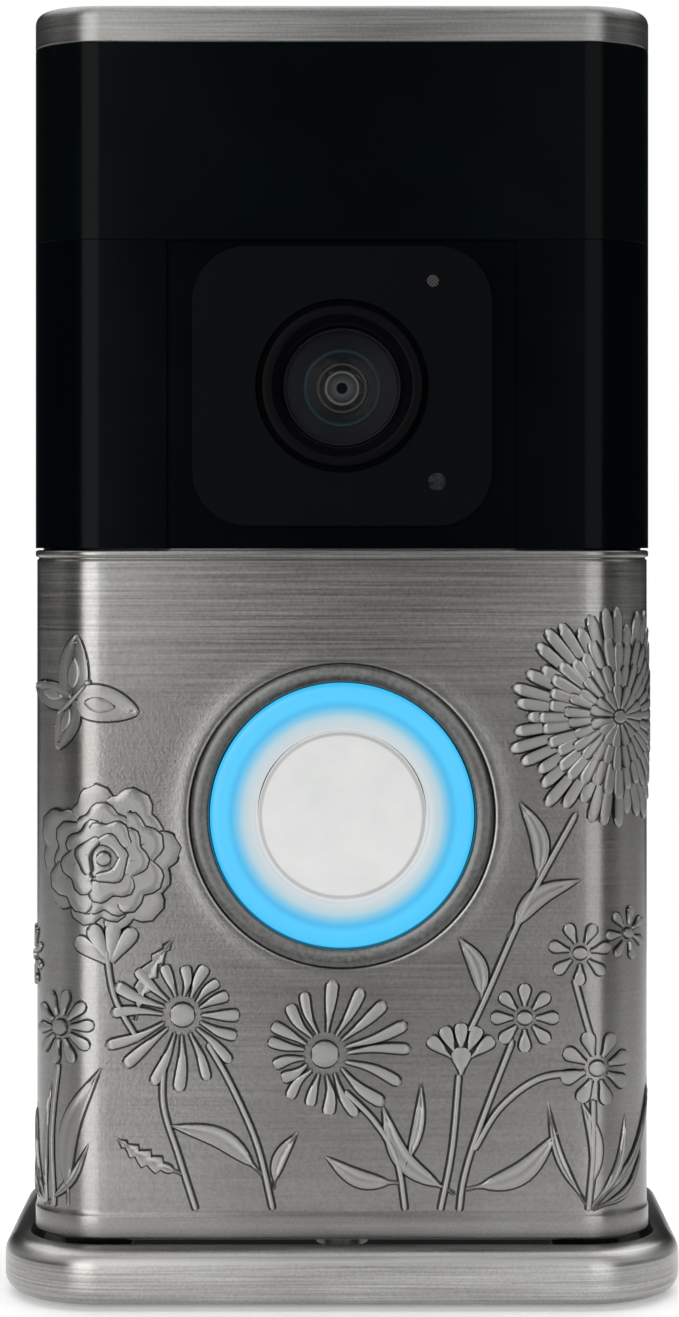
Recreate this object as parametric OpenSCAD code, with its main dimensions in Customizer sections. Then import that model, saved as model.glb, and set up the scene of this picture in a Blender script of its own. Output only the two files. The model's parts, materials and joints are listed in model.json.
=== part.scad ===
// Battery video doorbell on a wall bracket with a base collar.
// X is to the right, the front faces -Y, Z is up. The origin is the centre of the
// bounding box's bottom, so the wall plane is at y = +overall_d / 2.

/* [Body] */
// Width of the body
body_w = 62; // [61:0.5:64]
// Height of the whole doorbell
body_h = 128.6; // [128.6:0.2:132]
// Depth from the wall to the front of the base collar
overall_d = 31; // [31:0.5:33]
// Radius of the vertical front corners
corner_r = 7; // [6:0.5:8]
// Radius of the vertical back corners
back_r = 3; // [2:0.5:4]
// Wall thickness of the black front shells
shell_t = 1.6; // [1.4:0.1:1.8]

/* [Front] */
// Height of the joint between the faceplate and the camera fascia
faceplate_top = 74.7; // [74.3:0.1:75]
// Height of the joint between the camera fascia and the sensor window
fascia_top = 105.3; // [105:0.1:106.5]
// Height of the underside of the top cap
cap_bottom = 124.9; // [124.7:0.1:126]
// Thickness of the metal faceplate
plate_t = 1.2; // [1:0.1:1.3]

/* [Button] */
// Height of the button's centre
button_z = 48.2; // [46:0.2:50]
// Radius of the button's disc
button_r = 8.2; // [7.8:0.1:8.4]
// Outer radius of the light ring
ring_r = 13; // [12.5:0.1:13.4]
// Outer radius of the bezel
bezel_r = 15.1; // [14.8:0.1:15.4]
// Travel of the button
button_travel = 0.8; // [0.5:0.1:0.8]

/* [Camera] */
// Height of the lens axis
lens_z = 90.8; // [90:0.1:91.5]
// Width of the camera plate
camera_plate_w = 29.7; // [28.5:0.1:31]
// Height of the camera plate
camera_plate_h = 27.7; // [27:0.1:28.5]
// Corner radius of the camera plate
camera_plate_r = 5.5; // [4:0.5:6]
// Outer radius of the ring round the lens
trim_r = 8; // [7.6:0.1:8.2]

/* [Battery] */
// Width of the battery
battery_w = 41; // [38:0.5:41]
// Height of the battery
battery_h = 63.5; // [62:0.5:63.5]

/* [Base collar] */
// How far the collar stands out from the body
collar_reach = 3; // [2.5:0.1:3]
// Height of the collar's inner lip
collar_h = 5.9; // [5:0.1:5.9]
// Gap between the collar and the body
collar_gap = 1; // [0.8:0.1:1.2]

/* [Wall bracket] */
// Thickness of the bracket's plate
bracket_t = 2; // [1.8:0.1:2]
// Distance between the wall screw holes across the bracket
hole_dx = 40; // [36:1:42]
// Distance between the wall screw holes up the bracket
hole_dz = 100; // [98:1:102]
// Radius of the wall screw holes
hole_r = 2.1; // [1.8:0.1:2.3]

/* [Hidden] */
$fn = 64;
cut = 1;           // how far a cutting solid overshoots the surface it cuts
slide_gap = 0.3;   // clearance between parts that slide apart
run_gap = 0.05;    // radial clearance of a running fit
head_gap = 0.2;    // radial clearance round a screw head or a loose boss
fuse = 0.5;        // how far joined solids reach into each other
edge = 0.3;        // small chamfer

// Depth planes, from the wall forwards
wall_y = overall_d / 2;
bracket_y = wall_y - bracket_t;
rear_y = bracket_y - slide_gap;
front_y = -wall_y + collar_reach;
seam_y = 2;
gasket_t = 0.6;
housing_t = 1.5;
back_wall_y = rear_y - housing_t;
side_x = body_w / 2;

// Faceplate and the liner behind it
plate_bottom = collar_h + slide_gap;
plate_edge = faceplate_top - slide_gap / 2;
plate_back = seam_y - slide_gap;
lip_t = 1.2;
lip_inset = 0.3;
lip_y = -4.8;
liner_t = 1;
liner_inset = plate_t + liner_t;
liner_top = plate_edge - 0.4;
liner_back = seam_y - 0.6;
notch_r = 1.7;

// Front chassis
chassis_inset = liner_inset + slide_gap;
chassis_t = 1.5;
chassis_bottom = plate_bottom + lip_t + slide_gap;
chassis_y = front_y + chassis_inset;
chassis_top = cap_bottom - 1.4;
chassis_back = seam_y - gasket_t;
upper_wall_y = -8.3;
chassis_edge = faceplate_top - 0.5;
shoulder_x = 24.5;
gasket_w = 1.1;
gasket_gap = 0.2;
peg_r = 1.3;
peg_x = 24;
peg_zs = [20, 66];
cap_hollow = 1.5;
cap_peg_h = 2.5;

// Rear housing
skirt_z = 5;
floor_z = chassis_bottom;
floor_top = floor_z + housing_t;
ledge_x = 27;
ledge_t = 1.5;
head_rail_h = 2.2;

// Rails of the bracket, and the channels they run in
rail_x = 26;
rail_neck = 1.2;
rail_head = 2.6;
rail_head_y = 10.1;
rail_neck_y = 11.6;
rail_z0 = 16;
rail_z1 = 88;
channel_x = 22.4;
channel_y = 8.6;
channel_side = side_x - 0.8;
channel_top = rail_z1 + 2;

// Button module
ring_front = front_y + 0.2;
ring_flange_y = chassis_y + chassis_t;
ring_flange_t = 1;
ring_bore = button_r + 0.3;
flange_r = ring_r + 1.4;
ring_back = ring_flange_y + ring_flange_t;
button_front = front_y + 0.3;
button_skin = 1.5;
button_wall = 1.2;
button_flange_r = ring_bore + 0.9;
button_flange_y = ring_back + slide_gap;
button_flange_t = 0.7;
bezel_flange_r = bezel_r + 1;
led_board_y = -5.5;
led_board_t = 1;
led_t = 0.8;
led_w = 2;
led_h = 1.4;
led_count = 8;
led_orbit = 11.8;
guide_t = 1;
guide_bore = button_flange_r + 0.4;
guide_inset = 0.4;
plunger_r = 1.6;
plunger_end = -8;
plunger_tip_r = 1;
tip_gap = 0.1;
seal_y = ring_flange_y - 0.6;
seal_r = 0.45;
seal_groove = 0.65;
switch_y = -7;
switch_w = 4.6;
switch_floor = 0.2;
tail_w = 10;
tail_top = 66;
flex_w = 8;
flex_t = 0.3;
flex_reach = 4;

// Camera
recess_w = 34.8;
recess_t = 0.8;
recess_y = front_y + recess_t;
recess_wall = 1.2;
recess_back_x = recess_w / 2 + 1.5;
plate_front = front_y - 0.2;
lens_groove = 0.6;
trim_front = front_y - 0.5;
trim_bore = 5.8;
trim_face = 1.2;
glass_y = front_y + 0.2;
glass_t = 1;
barrel_r = 7;
barrel_y = -10.5;
camera_board_y = -1;
camera_board_w = 22;
camera_board_t = 1;
element_r = 5.5;
element_back = -8;
element_rise = 1.6;
inner_r = 4.2;
inner_front = -7.6;
inner_back = -5;
inner_rise = 1.2;
bore_r = 3.2;
filter_r = 3.15;
filter_y = [-3.6, -3.2];
chip = [4.6, 0.8, 3.6];
connector_low = [-8, -6];
connector_high = [4, -2.5];
ir_board_x = 14;
ir_board_h = 13.5;
ir_board_y = upper_wall_y - 1;
ir_led_r = 1.5;
ir_led_orbit = 11.2;
ir_led_count = 6;
sensor_at = [9.4, 81.3];
sensor_r = 0.9;
mic_at = [9, 101.2];
mic_r = 0.6;
mic_case = [3.6, 2.8];
show_t = 0.05;

// Motion sensor behind the window
motion_z = 115;
motion_w = 14;
motion_h = 12;
motion_can_r = 4.1;
motion_can_h = 3.4;
motion_board_y = -3;
motion_board = [20, 1, 12.6];
motion_lens_t = 0.6;
motion_gap = 0.1;

// Main board and what stands on it
board_x = 23;
board_y = 3.5;
board_t = 1.2;
board_z0 = 73.4;
board_z1 = 121;
board_back = board_y + board_t;
screw_x = 20;
cap_peg = [screw_x, 8];
screw_zs = [77, 118];
screw_r = 1.2;
screw_head_r = 2.1;
screw_head_t = 1.5;
screw_head_y = rear_y - screw_head_t - 0.4;
screw_tip_y = upper_wall_y + 4;
screw_slot = [2.4, 1.8, 0.5];
pillar_r = 2.6;
board_hole_r = 1.6;
shield_low = [5, 80];
shield_high = [22, 93.5];
shield_h = 2.4;
shield_t = 0.3;
antenna_x = [5, 17];
antenna_z = [115, 119.5, 120.5];
antenna_y = board_y - 2;
antenna_t = 0.4;
antenna_foot = 1.5;

// Terminals and the setup button, reached from the back
terminal_z = 103;
terminal_w = 22;
terminal_h = 12;
terminal_x = 5.5;
terminal_face = 12.4;
terminal_head_r = 2.7;
terminal_head_y = 10.5;
terminal_shank_r = 1.5;
terminal_shank_y = 6.2;
terminal_slot = [4.2, 1.6, 0.8];
setup_z = 86;
setup_r = 2.6;
setup_face = rear_y - 0.2;
setup_flange = 0.8;
setup_flange_t = 0.7;
setup_pin_r = 1;
setup_pin_y = 9;
setup_switch_w = 5;
setup_switch_y = 7.9;

// Speaker on the left side
speaker_z0 = 95;
speaker_z1 = 115;
speaker_y0 = 3.8;
speaker_y1 = 10;
speaker_t = 4.7;
speaker_gasket_t = 1;
speaker_rim = 1.2;
speaker_dish = 0.8;
shelf_t = 1.2;
shelf_gap = 0.4;
shelf_lap = 0.6;
grille_inset = 1.4;
grille_slots = 5;
grille_pitch = 3.4;
grille_slot_h = 1.2;

// Battery, its sleeve and its contacts
battery_gap = 0.3;
battery_z0 = 7;
battery_z1 = battery_z0 + battery_h;
battery_y0 = -2.7;
battery_y1 = back_wall_y - battery_gap;
battery_r = 2;
battery_cap_top = 18;
case_t = 1.5;
cell_gap = 0.2;
cell_h = 42;
cell_board = [28, 1, 62];
cell_board_y = 3;
finger_low = [-12, 3];
finger_high = [12, 8];
finger_h = 2.5;
bay_x = battery_w / 2 + battery_gap;
bay_y = battery_y0 - battery_gap;
sleeve_t = 1.2;
sleeve_top = battery_z1 + 0.5;
latch_w = 10;
latch_y = -4.1;
latch_root_y = -1.5;
latch_top = 17;
latch_travel = 1.2;
latch_gap = 0.6;
latch_foot = 0.4;
latch_ribs = [10, 12.5, 15];
latch_rib_h = 0.8;
latch_rib_t = 0.4;
pin_xs = [-4, 0, 4];
pin_y = 7;
pin_r = 0.6;
pin_gap = 0.2;
contact_x = 6;
contact_way = 2;
contact_back = 9;
contact_h = 4.3;

// Security screw in the bottom of the chassis
security_y = -7.2;
security_r = 1.25;
security_head_r = 2.6;
security_z0 = 5;
security_z1 = 15;
security_socket = [1.3, 0.8];

// Collar floor and the bracket's feet
pad_t = 0.2;
pad_recess = 0.8;
pad_w = 2.4;
pad_back_w = 1.2;
pad_x = side_x - 1;
pad_y0 = front_y - 0.6;
pad_y1 = wall_y - 2;
pad_r = corner_r - 1;
rim_root = 0.2;
collar_floor = 2;
opening_x = 22;
opening_y0 = -10.5;
opening_y1 = 12;
opening_r = 2;
bracket_x = 29;
bracket_top = 118;
hole_mid_z = 62;
countersink_r = 3.9;
foot_x0 = 22.4;
foot_y0 = 5.5;
foot_t = 1.5;
foot_boss_r = 2.2;
foot_screw = [24.9, 9];
foot_head_t = 1;
foot_screw_z1 = skirt_z - 0.5;
wire_w = 16;
wire_h = 18;

// ---- Helpers ----

// A box between two opposite corners
module span(low, high) translate(low) cube(high - low);

// A round bar along Y
module rod_y(at, r, from, to)
    translate([at[0], from, at[1]]) rotate([-90, 0, 0]) cylinder(h = to - from, r = r);

// A round bar along Z
module rod_z(at, r, from, to) translate([at[0], at[1], from]) cylinder(h = to - from, r = r);

// A profile of [radius, y] points turned about an axis along Y
module turn_y(at, profile)
    translate([at[0], 0, at[1]]) rotate([-90, 0, 0]) rotate_extrude() polygon(profile);

// The children and their mirror image in X
module both_sides() {
    children();
    mirror([1, 0, 0]) children();
}

// Plan outline of the body, with its own radii at the front and at the back
module outline(inset = 0) {
    half = side_x - inset;
    front = front_y + inset;
    rear = rear_y - inset;
    fr = corner_r - inset;
    br = max(back_r - inset, 0.5);
    translate([fr - half, front]) square([2 * (half - fr), rear - front]);
    translate([-half, front + fr]) square([2 * half, rear - br - front - fr]);
    translate([br - half, rear - 2 * br]) square([2 * (half - br), 2 * br]);
    for (s = [-1, 1]) {
        translate([s * (half - fr), front + fr]) circle(fr);
        translate([s * (half - br), rear - br]) circle(br);
    }
}

// A slice of the body's outline between two heights
module slab(inset, from, to) translate([0, 0, from]) linear_extrude(to - from) outline(inset);

// Everything behind a depth plane, as a cutting solid
module behind(y) span([-body_w, y, -body_h], [body_w, overall_d, 2 * body_h]);

// Everything in front of a depth plane, as a cutting solid
module before(y, from, to) span([-body_w, -overall_d, from], [body_w, y, to]);

// A front shell: the wall of the outline forward of a plane
module front_shell(outer, inner, from, to, back) {
    difference() {
        slab(outer, from, to);
        slab(inner, from - cut, to + cut);
        behind(back);
    }
}

// A rounded rectangle in plan
module round_plan(x, y0, y1, r) {
    translate([-x, y0 + r]) square([2 * x, y1 - y0 - 2 * r]);
    translate([r - x, y0]) square([2 * (x - r), y1 - y0]);
    for (sx = [-1, 1], y = [y0 + r, y1 - r]) translate([sx * (x - r), y]) circle(r);
}

// Points of an arc from one angle to another
function arc(centre, r, from, to, steps) = [
    for (i = [0 : steps])
        let (a = from + (to - from) * i / steps)
        centre + r * [cos(a), sin(a)]
];

// Profile of a lens element: a dome of the given height on a disc
function dome_profile(r, y_front, y_back, height) = concat(
    [[0, y_back]],
    [for (i = [0 : 12])
        let (t = i / 12)
        [r * (1 - t), y_front + height * pow(1 - t, 2)]]
);

// ---- Collar and wall bracket ----

module base_pad() {
    color("dimgray")
    difference() {
        linear_extrude(pad_t + pad_recess)
            round_plan(pad_x, pad_y0, pad_y1, pad_r);
        translate([0, 0, -cut]) linear_extrude(pad_t + pad_recess + 2 * cut)
            round_plan(pad_x - pad_w, pad_y0 + pad_w, pad_y1 - pad_back_w, pad_r - pad_w);
    }
}

// Section of the collar's rim: [distance from the corner's centre, height]. It has a narrow
// flat lip, a shallow bevel, a rounded shoulder and an upright face.
function rim_profile() =
    let (lip = corner_r + collar_gap, out = corner_r + collar_reach, shoulder = 1, bevel = 0.5)
    concat(
        [[lip, pad_t], [lip, collar_h], [lip + edge, collar_h]],
        arc([out - shoulder, collar_h - bevel - shoulder], shoulder, 72, 0, 6),
        arc([out - shoulder, pad_t + shoulder], shoulder, 0, -90, 6)
    );

module base_collar() {
    corner_x = side_x - corner_r;
    corner_y = front_y + corner_r;
    color("silver")
    difference() {
        union() {
            both_sides() {
                translate([corner_x, corner_y, 0]) rotate([0, 0, -90])
                    rotate_extrude(angle = 90) polygon(rim_profile());
                translate([corner_x, corner_y, 0]) rotate([90, 0, 180]) mirror([1, 0, 0])
                    linear_extrude(wall_y - corner_y) polygon(rim_profile());
            }
            translate([-corner_x, corner_y, 0]) rotate([90, 0, 90]) mirror([1, 0, 0])
                linear_extrude(2 * corner_x) polygon(rim_profile());
            translate([0, 0, pad_t]) linear_extrude(collar_floor - pad_t) floor_plan();
            both_sides() span([bracket_x + slide_gap, bracket_y, collar_floor],
                [side_x + collar_gap, wall_y, collar_h]);
        }
        translate([0, 0, -cut]) linear_extrude(collar_floor + 2 * cut)
            round_plan(opening_x, opening_y0, opening_y1, opening_r);
        base_pad();
        both_sides() {
            rod_z(foot_screw, screw_r + run_gap, -cut, collar_floor + cut);
            rod_z(foot_screw, screw_head_r + head_gap, -cut, pad_t + foot_head_t);
        }
    }
}

// Plan of the collar's floor, out to the middle of the rim
module floor_plan() {
    grow = collar_gap + rim_root;
    x = side_x + grow;
    r = corner_r + grow;
    translate([r - x, front_y - grow]) square([2 * (x - r), wall_y - front_y + grow]);
    translate([-x, front_y + corner_r]) square([2 * x, wall_y - front_y - corner_r]);
    for (s = [-1, 1]) translate([s * (x - r), front_y + corner_r]) circle(r);
}

module wall_bracket() {
    color("dimgray")
    difference() {
        union() {
            span([-bracket_x, bracket_y, collar_floor], [bracket_x, wall_y, bracket_top]);
            both_sides() {
                span([rail_x - rail_neck, rail_neck_y, rail_z0],
                    [rail_x + rail_neck, bracket_y, rail_z1]);
                span([rail_x - rail_head, rail_head_y, rail_z0],
                    [rail_x + rail_head, rail_neck_y, rail_z1]);
                span([foot_x0, foot_y0, collar_floor],
                    [bracket_x, bracket_y, collar_floor + foot_t]);
                rod_z(foot_screw, foot_boss_r, collar_floor, skirt_z - slide_gap);
            }
        }
        both_sides() {
            rod_z(foot_screw, screw_r + run_gap, collar_floor - cut, skirt_z);
            for (s = [-1, 1]) {
                at = [hole_dx / 2, hole_mid_z + s * hole_dz / 2];
                rod_y(at, hole_r, bracket_y - cut, wall_y + cut);
                translate([at[0], bracket_y, at[1]]) rotate([-90, 0, 0])
                    cylinder(h = bracket_t / 2, r1 = countersink_r, r2 = hole_r);
            }
        }
        span([-wire_w / 2, bracket_y - cut, terminal_z - wire_h / 2],
            [wire_w / 2, wall_y + cut, terminal_z + wire_h / 2]);
    }
}

module collar_screws() {
    color("gainsboro")
    both_sides() {
        rod_z(foot_screw, screw_head_r, pad_t, pad_t + foot_head_t);
        rod_z(foot_screw, screw_r, pad_t + foot_head_t, foot_screw_z1);
    }
}

// ---- Housing ----

module rear_housing() {
    color([0.11, 0.11, 0.12])
    difference() {
        union() {
            difference() {
                slab(0, skirt_z, cap_bottom);
                before(seam_y, 0, body_h);
                slab(housing_t, floor_top, cap_bottom - housing_t);
                slab(housing_t, skirt_z - cut, floor_z);
            }
            both_sides() {
                span([channel_x, channel_y, skirt_z], [channel_side, rear_y - back_r, channel_top]);
                span([channel_x, back_wall_y - fuse, skirt_z], [side_x - back_r, rear_y, channel_top]);
                span([ledge_x, seam_y, floor_z], [side_x - housing_t / 2, seam_y + ledge_t, chassis_top]);
                for (z = screw_zs) rod_y([screw_x, z], pillar_r, board_back, rear_y - fuse);
            }
            span([-ledge_x, seam_y, chassis_top - head_rail_h],
                [ledge_x, seam_y + ledge_t, cap_bottom - fuse]);
            span([-side_x + fuse, speaker_y0 - shelf_lap, speaker_z0 - shelf_gap - shelf_t],
                [-side_x + housing_t + speaker_t + shelf_lap, back_wall_y + fuse, speaker_z0 - shelf_gap]);
        }
        both_sides() {
            span([rail_x - rail_head - slide_gap, rail_head_y - slide_gap, skirt_z - cut],
                [rail_x + rail_head + slide_gap, rail_neck_y + slide_gap, rail_z1 + slide_gap]);
            span([rail_x - rail_neck - slide_gap, rail_neck_y, skirt_z - cut],
                [rail_x + rail_neck + slide_gap, rear_y + cut, rail_z1 + slide_gap]);
            for (z = screw_zs) {
                rod_y([screw_x, z], screw_r + run_gap, 0, rear_y + cut);
                rod_y([screw_x, z], screw_head_r + head_gap, screw_head_y, rear_y + cut);
            }
            rod_z(cap_peg, peg_r + run_gap, cap_bottom - cap_peg_h - fuse, cap_bottom + cut);
        }
        span([-bay_x, seam_y - cut, floor_z - cut], [bay_x, back_wall_y, floor_top + cut]);
        span([-terminal_w / 2 - slide_gap, 0, terminal_z - terminal_h / 2 - slide_gap],
            [terminal_w / 2 + slide_gap, rear_y + cut, terminal_z + terminal_h / 2 + slide_gap]);
        rod_y([0, setup_z], setup_r + head_gap, 0, rear_y + cut);
        for (i = [0 : grille_slots - 1]) {
            z = (speaker_z0 + speaker_z1) / 2 + (i - (grille_slots - 1) / 2) * grille_pitch;
            span([-side_x - cut, speaker_y0 + grille_inset, z - grille_slot_h / 2],
                [-side_x + housing_t + cut, speaker_y1 - grille_inset, z + grille_slot_h / 2]);
        }
    }
}

module front_chassis() {
    color([0.13, 0.13, 0.14])
    difference() {
        union() {
            difference() {
                slab(chassis_inset, chassis_bottom, chassis_top);
                slab(chassis_inset + chassis_t, chassis_bottom + chassis_t, chassis_edge - chassis_t);
                slab(chassis_inset + chassis_t, chassis_edge - chassis_t - cut, chassis_top - chassis_t);
                before(upper_wall_y, chassis_edge, body_h);
                behind(chassis_back);
            }
            span([-ledge_x, upper_wall_y, chassis_edge - chassis_t],
                [ledge_x, upper_wall_y + chassis_t, chassis_top]);
            span([-shoulder_x, chassis_y + fuse, chassis_edge - chassis_t],
                [shoulder_x, upper_wall_y + chassis_t, chassis_edge]);
            both_sides() for (z = screw_zs)
                rod_y([screw_x, z], pillar_r, upper_wall_y + fuse, board_y);
            rod_z([0, security_y], security_head_r, chassis_bottom + fuse, security_z1 + cut);
        }
        rod_y([0, button_z], ring_r + run_gap, front_y, ring_flange_y + fuse);
        rod_z([0, security_y], security_r + run_gap, 0, security_z1 + head_gap);
        both_sides() {
            for (z = peg_zs) rod_y([peg_x, z], peg_r + slide_gap, front_y, 0);
            for (z = screw_zs) rod_y([screw_x, z], screw_r + run_gap, screw_tip_y - fuse, board_y + cut);
        }
        rod_y([0, lens_z], barrel_r + run_gap, front_y, 0);
        span([-motion_w / 2, upper_wall_y - cut, motion_z - motion_h / 2],
            [motion_w / 2, upper_wall_y + chassis_t + cut, motion_z + motion_h / 2]);
        span([-bay_x, bay_y, 0], [bay_x, seam_y, chassis_bottom + chassis_t + fuse]);
        span([-latch_w / 2 - latch_gap, latch_y - slide_gap, 0],
            [latch_w / 2 + latch_gap, seam_y, chassis_bottom + chassis_t + fuse]);
    }
}

module housing_gasket() {
    x = side_x - chassis_inset - gasket_gap;
    z0 = chassis_bottom + gasket_gap;
    z1 = chassis_top - gasket_gap;
    color("black")
    difference() {
        span([-x, chassis_back, z0], [x, seam_y, z1]);
        span([gasket_w - x, chassis_back - cut, z0 + gasket_w], [x - gasket_w, seam_y + cut, z1 - gasket_w]);
        span([-bay_x, chassis_back - cut, 0], [bay_x, seam_y + cut, floor_top + cut]);
    }
}

module housing_screws() {
    color("gainsboro")
    both_sides() for (z = screw_zs) difference() {
        union() {
            rod_y([screw_x, z], screw_head_r, screw_head_y, screw_head_y + screw_head_t);
            rod_y([screw_x, z], screw_r, screw_tip_y, screw_head_y);
        }
        for (a = [0, 90]) translate([screw_x, rear_y, z]) rotate([0, a, 0])
            cube(screw_slot, center = true);
    }
}

// Steps of the cap's rounded upper edge: [inset, height above its underside]
function cap_steps() =
    let (h = body_h - cap_bottom)
    [[0, 0], [0.05, h - 1.1], [0.2, h - 0.6], [0.5, h - 0.2], [1, h]];

module top_cap() {
    layer = 0.01;
    color([0.45, 0.45, 0.44]) {
        difference() {
            hull() for (step = cap_steps())
                translate([0, 0, cap_bottom + step[1] - (step[1] > 0 ? layer : 0)])
                    linear_extrude(layer) outline(step[0], $fn = 32);
            slab(shell_t, cap_bottom - cut, cap_bottom + cap_hollow);
        }
        both_sides() rod_z(cap_peg, peg_r, cap_bottom - cap_peg_h, cap_bottom + cap_hollow);
    }
}

// ---- Black front: window, fascia and camera ----

module sensor_window() {
    color([0.04, 0.05, 0.05]) front_shell(0, shell_t, fascia_top, cap_bottom, seam_y);
}

module camera_fascia() {
    bottom = faceplate_top + slide_gap / 2;
    color([0.03, 0.04, 0.05])
    difference() {
        union() {
            front_shell(0, shell_t, bottom, fascia_top, seam_y);
            span([-recess_back_x, front_y + shell_t - fuse, bottom],
                [recess_back_x, recess_y + recess_wall, fascia_top]);
        }
        span([-recess_w / 2, front_y - cut, bottom - cut], [recess_w / 2, recess_y, fascia_top + cut]);
        rod_y([0, lens_z], trim_r + run_gap, front_y - cut, 0);
        for (i = [0 : ir_led_count - 1]) rod_y(ir_led_at(i), ir_led_r + slide_gap, front_y - cut, 0);
        rod_y(sensor_at, sensor_r + run_gap, front_y - cut, 0);
        rod_y(mic_at, mic_r + run_gap, front_y - cut, 0);
    }
}

// Place of an infrared LED on its ring round the lens
function ir_led_at(i) =
    let (a = 30 + 360 * i / ir_led_count) [ir_led_orbit * cos(a), lens_z + ir_led_orbit * sin(a)];

module camera_plate() {
    color([0.05, 0.055, 0.065])
    difference() {
        translate([0, recess_y, lens_z]) rotate([90, 0, 0])
            linear_extrude(recess_y - plate_front)
                round_plan(camera_plate_w / 2, -camera_plate_h / 2, camera_plate_h / 2, camera_plate_r);
        rod_y([0, lens_z], trim_r + lens_groove, front_y - 2 * cut, 0);
        rod_y(sensor_at, sensor_r + run_gap, front_y - 2 * cut, 0);
        rod_y(mic_at, mic_r + run_gap, front_y - 2 * cut, 0);
    }
}

module lens_trim_ring() {
    color([0.1, 0.1, 0.11]) turn_y([0, lens_z], [
        [trim_bore, barrel_y], [trim_r, barrel_y], [trim_r, trim_front + edge],
        [trim_r - edge, trim_front], [trim_bore + trim_face, trim_front],
        [trim_bore + edge, glass_y - edge], [trim_bore, glass_y]
    ]);
}

module lens_cover_glass() {
    color([0.2, 0.25, 0.3, 0.5]) rod_y([0, lens_z], trim_bore - run_gap, glass_y, glass_y + glass_t);
}

module lens_barrel() {
    color([0.08, 0.08, 0.09])
    difference() {
        rod_y([0, lens_z], barrel_r, barrel_y, camera_board_y);
        rod_y([0, lens_z], element_r + run_gap, barrel_y - cut, element_back);
        rod_y([0, lens_z], inner_r + run_gap, element_back - cut, inner_back);
        rod_y([0, lens_z], bore_r, inner_back - cut, camera_board_y + cut);
    }
}

module lens_front_element() {
    color([0.1, 0.3, 0.35, 0.6])
    turn_y([0, lens_z], dome_profile(element_r, barrel_y, element_back, element_rise));
}

module lens_inner_element() {
    color([0.5, 0.4, 0.1, 0.6])
    turn_y([0, lens_z], dome_profile(inner_r, inner_front, inner_back, inner_rise));
}

module ir_filter() {
    color([0.3, 0.6, 0.7, 0.6]) rod_y([0, lens_z], filter_r, filter_y[0], filter_y[1]);
}

module image_sensor() {
    color("darkslategray")
    span([-chip[0] / 2, camera_board_y - chip[1], lens_z - chip[2] / 2],
        [chip[0] / 2, camera_board_y, lens_z + chip[2] / 2]);
}

module camera_board() {
    half = camera_board_w / 2;
    color("darkgreen")
    span([-half, camera_board_y, lens_z - half], [half, camera_board_y + camera_board_t, lens_z + half]);
}

module camera_connector() {
    color("ivory")
    span([connector_low[0], camera_board_y + camera_board_t, lens_z + connector_low[1]],
        [connector_high[0], board_y, lens_z + connector_high[1]]);
}

module ir_led_board() {
    color("darkgreen")
    difference() {
        span([-ir_board_x, ir_board_y, lens_z - ir_board_h], [ir_board_x, upper_wall_y, lens_z + ir_board_h]);
        rod_y([0, lens_z], barrel_r + slide_gap, ir_board_y - cut, 0);
    }
}

module ir_leds() {
    color([0.2, 0.1, 0.15]) for (i = [0 : ir_led_count - 1]) {
        at = ir_led_at(i);
        rod_y(at, ir_led_r, recess_y + edge, ir_board_y);
    }
}

module light_sensor_lens() {
    color([0.35, 0.4, 0.42]) rod_y(sensor_at, sensor_r, plate_front + show_t, recess_y + recess_wall);
}

module mic_mesh() {
    color([0.2, 0.2, 0.2]) rod_y(mic_at, mic_r, plate_front + 2 * show_t, recess_y + recess_wall / 2);
}

module microphone() {
    color("gold")
    span([mic_at[0] - mic_case[0] / 2, recess_y + recess_wall + show_t, mic_at[1] - mic_case[1] / 2],
        [mic_at[0] + mic_case[0] / 2, ir_board_y, mic_at[1] + mic_case[1] / 2]);
}

module motion_sensor_lens() {
    color("whitesmoke")
    span([motion_gap - motion_w / 2, upper_wall_y, motion_z - motion_h / 2 + motion_gap],
        [motion_w / 2 - motion_gap, upper_wall_y + motion_lens_t, motion_z + motion_h / 2 - motion_gap]);
}

module motion_sensor() {
    color("silver") rod_y([0, motion_z], motion_can_r, motion_board_y - motion_can_h, motion_board_y);
}

module motion_sensor_board() {
    color("darkgreen")
    span([-motion_board[0] / 2, motion_board_y, motion_z - motion_board[2] / 2],
        [motion_board[0] / 2, motion_board_y + motion_board[1], motion_z + motion_board[2] / 2]);
}

// ---- Button module ----

module light_ring() {
    color([0.35, 0.8, 0.95]) turn_y([0, button_z], [
        [ring_bore, ring_front], [ring_r - edge, ring_front], [ring_r, ring_front + edge],
        [ring_r, ring_flange_y], [flange_r, ring_flange_y], [flange_r, ring_back],
        [ring_bore, ring_back]
    ]);
}

module light_guide() {
    color([0.85, 0.95, 1, 0.6])
    difference() {
        rod_y([0, button_z], flange_r - guide_inset, ring_back, ring_back + guide_t);
        rod_y([0, button_z], guide_bore, ring_back - cut, ring_back + guide_t + cut);
    }
}

module button_leds() {
    color("lightyellow") for (i = [0 : led_count - 1])
        translate([0, 0, button_z]) rotate([0, 360 * i / led_count, 0])
            span([-led_w / 2, led_board_y - led_t, led_orbit - led_h / 2],
                [led_w / 2, led_board_y, led_orbit + led_h / 2]);
}

module led_ring_board() {
    color("darkgreen") {
        union() {
            rod_y([0, button_z], flange_r, led_board_y, led_board_y + led_board_t);
            span([-tail_w / 2, led_board_y, button_z], [tail_w / 2, led_board_y + led_board_t, tail_top]);
        }
    }
}

module button_flex() {
    x = flex_w / 2;
    bend_z = sleeve_top + sleeve_t + slide_gap;
    color("peru") {
        span([-x, led_board_y, tail_top], [x, led_board_y + flex_t, bend_z + flex_t]);
        span([-x, led_board_y + flex_t, bend_z], [x, board_y + 2 * flex_t, bend_z + flex_t]);
        span([-x, board_y - flex_t, bend_z + flex_t], [x, board_y, board_z0 + flex_reach]);
    }
}

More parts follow.
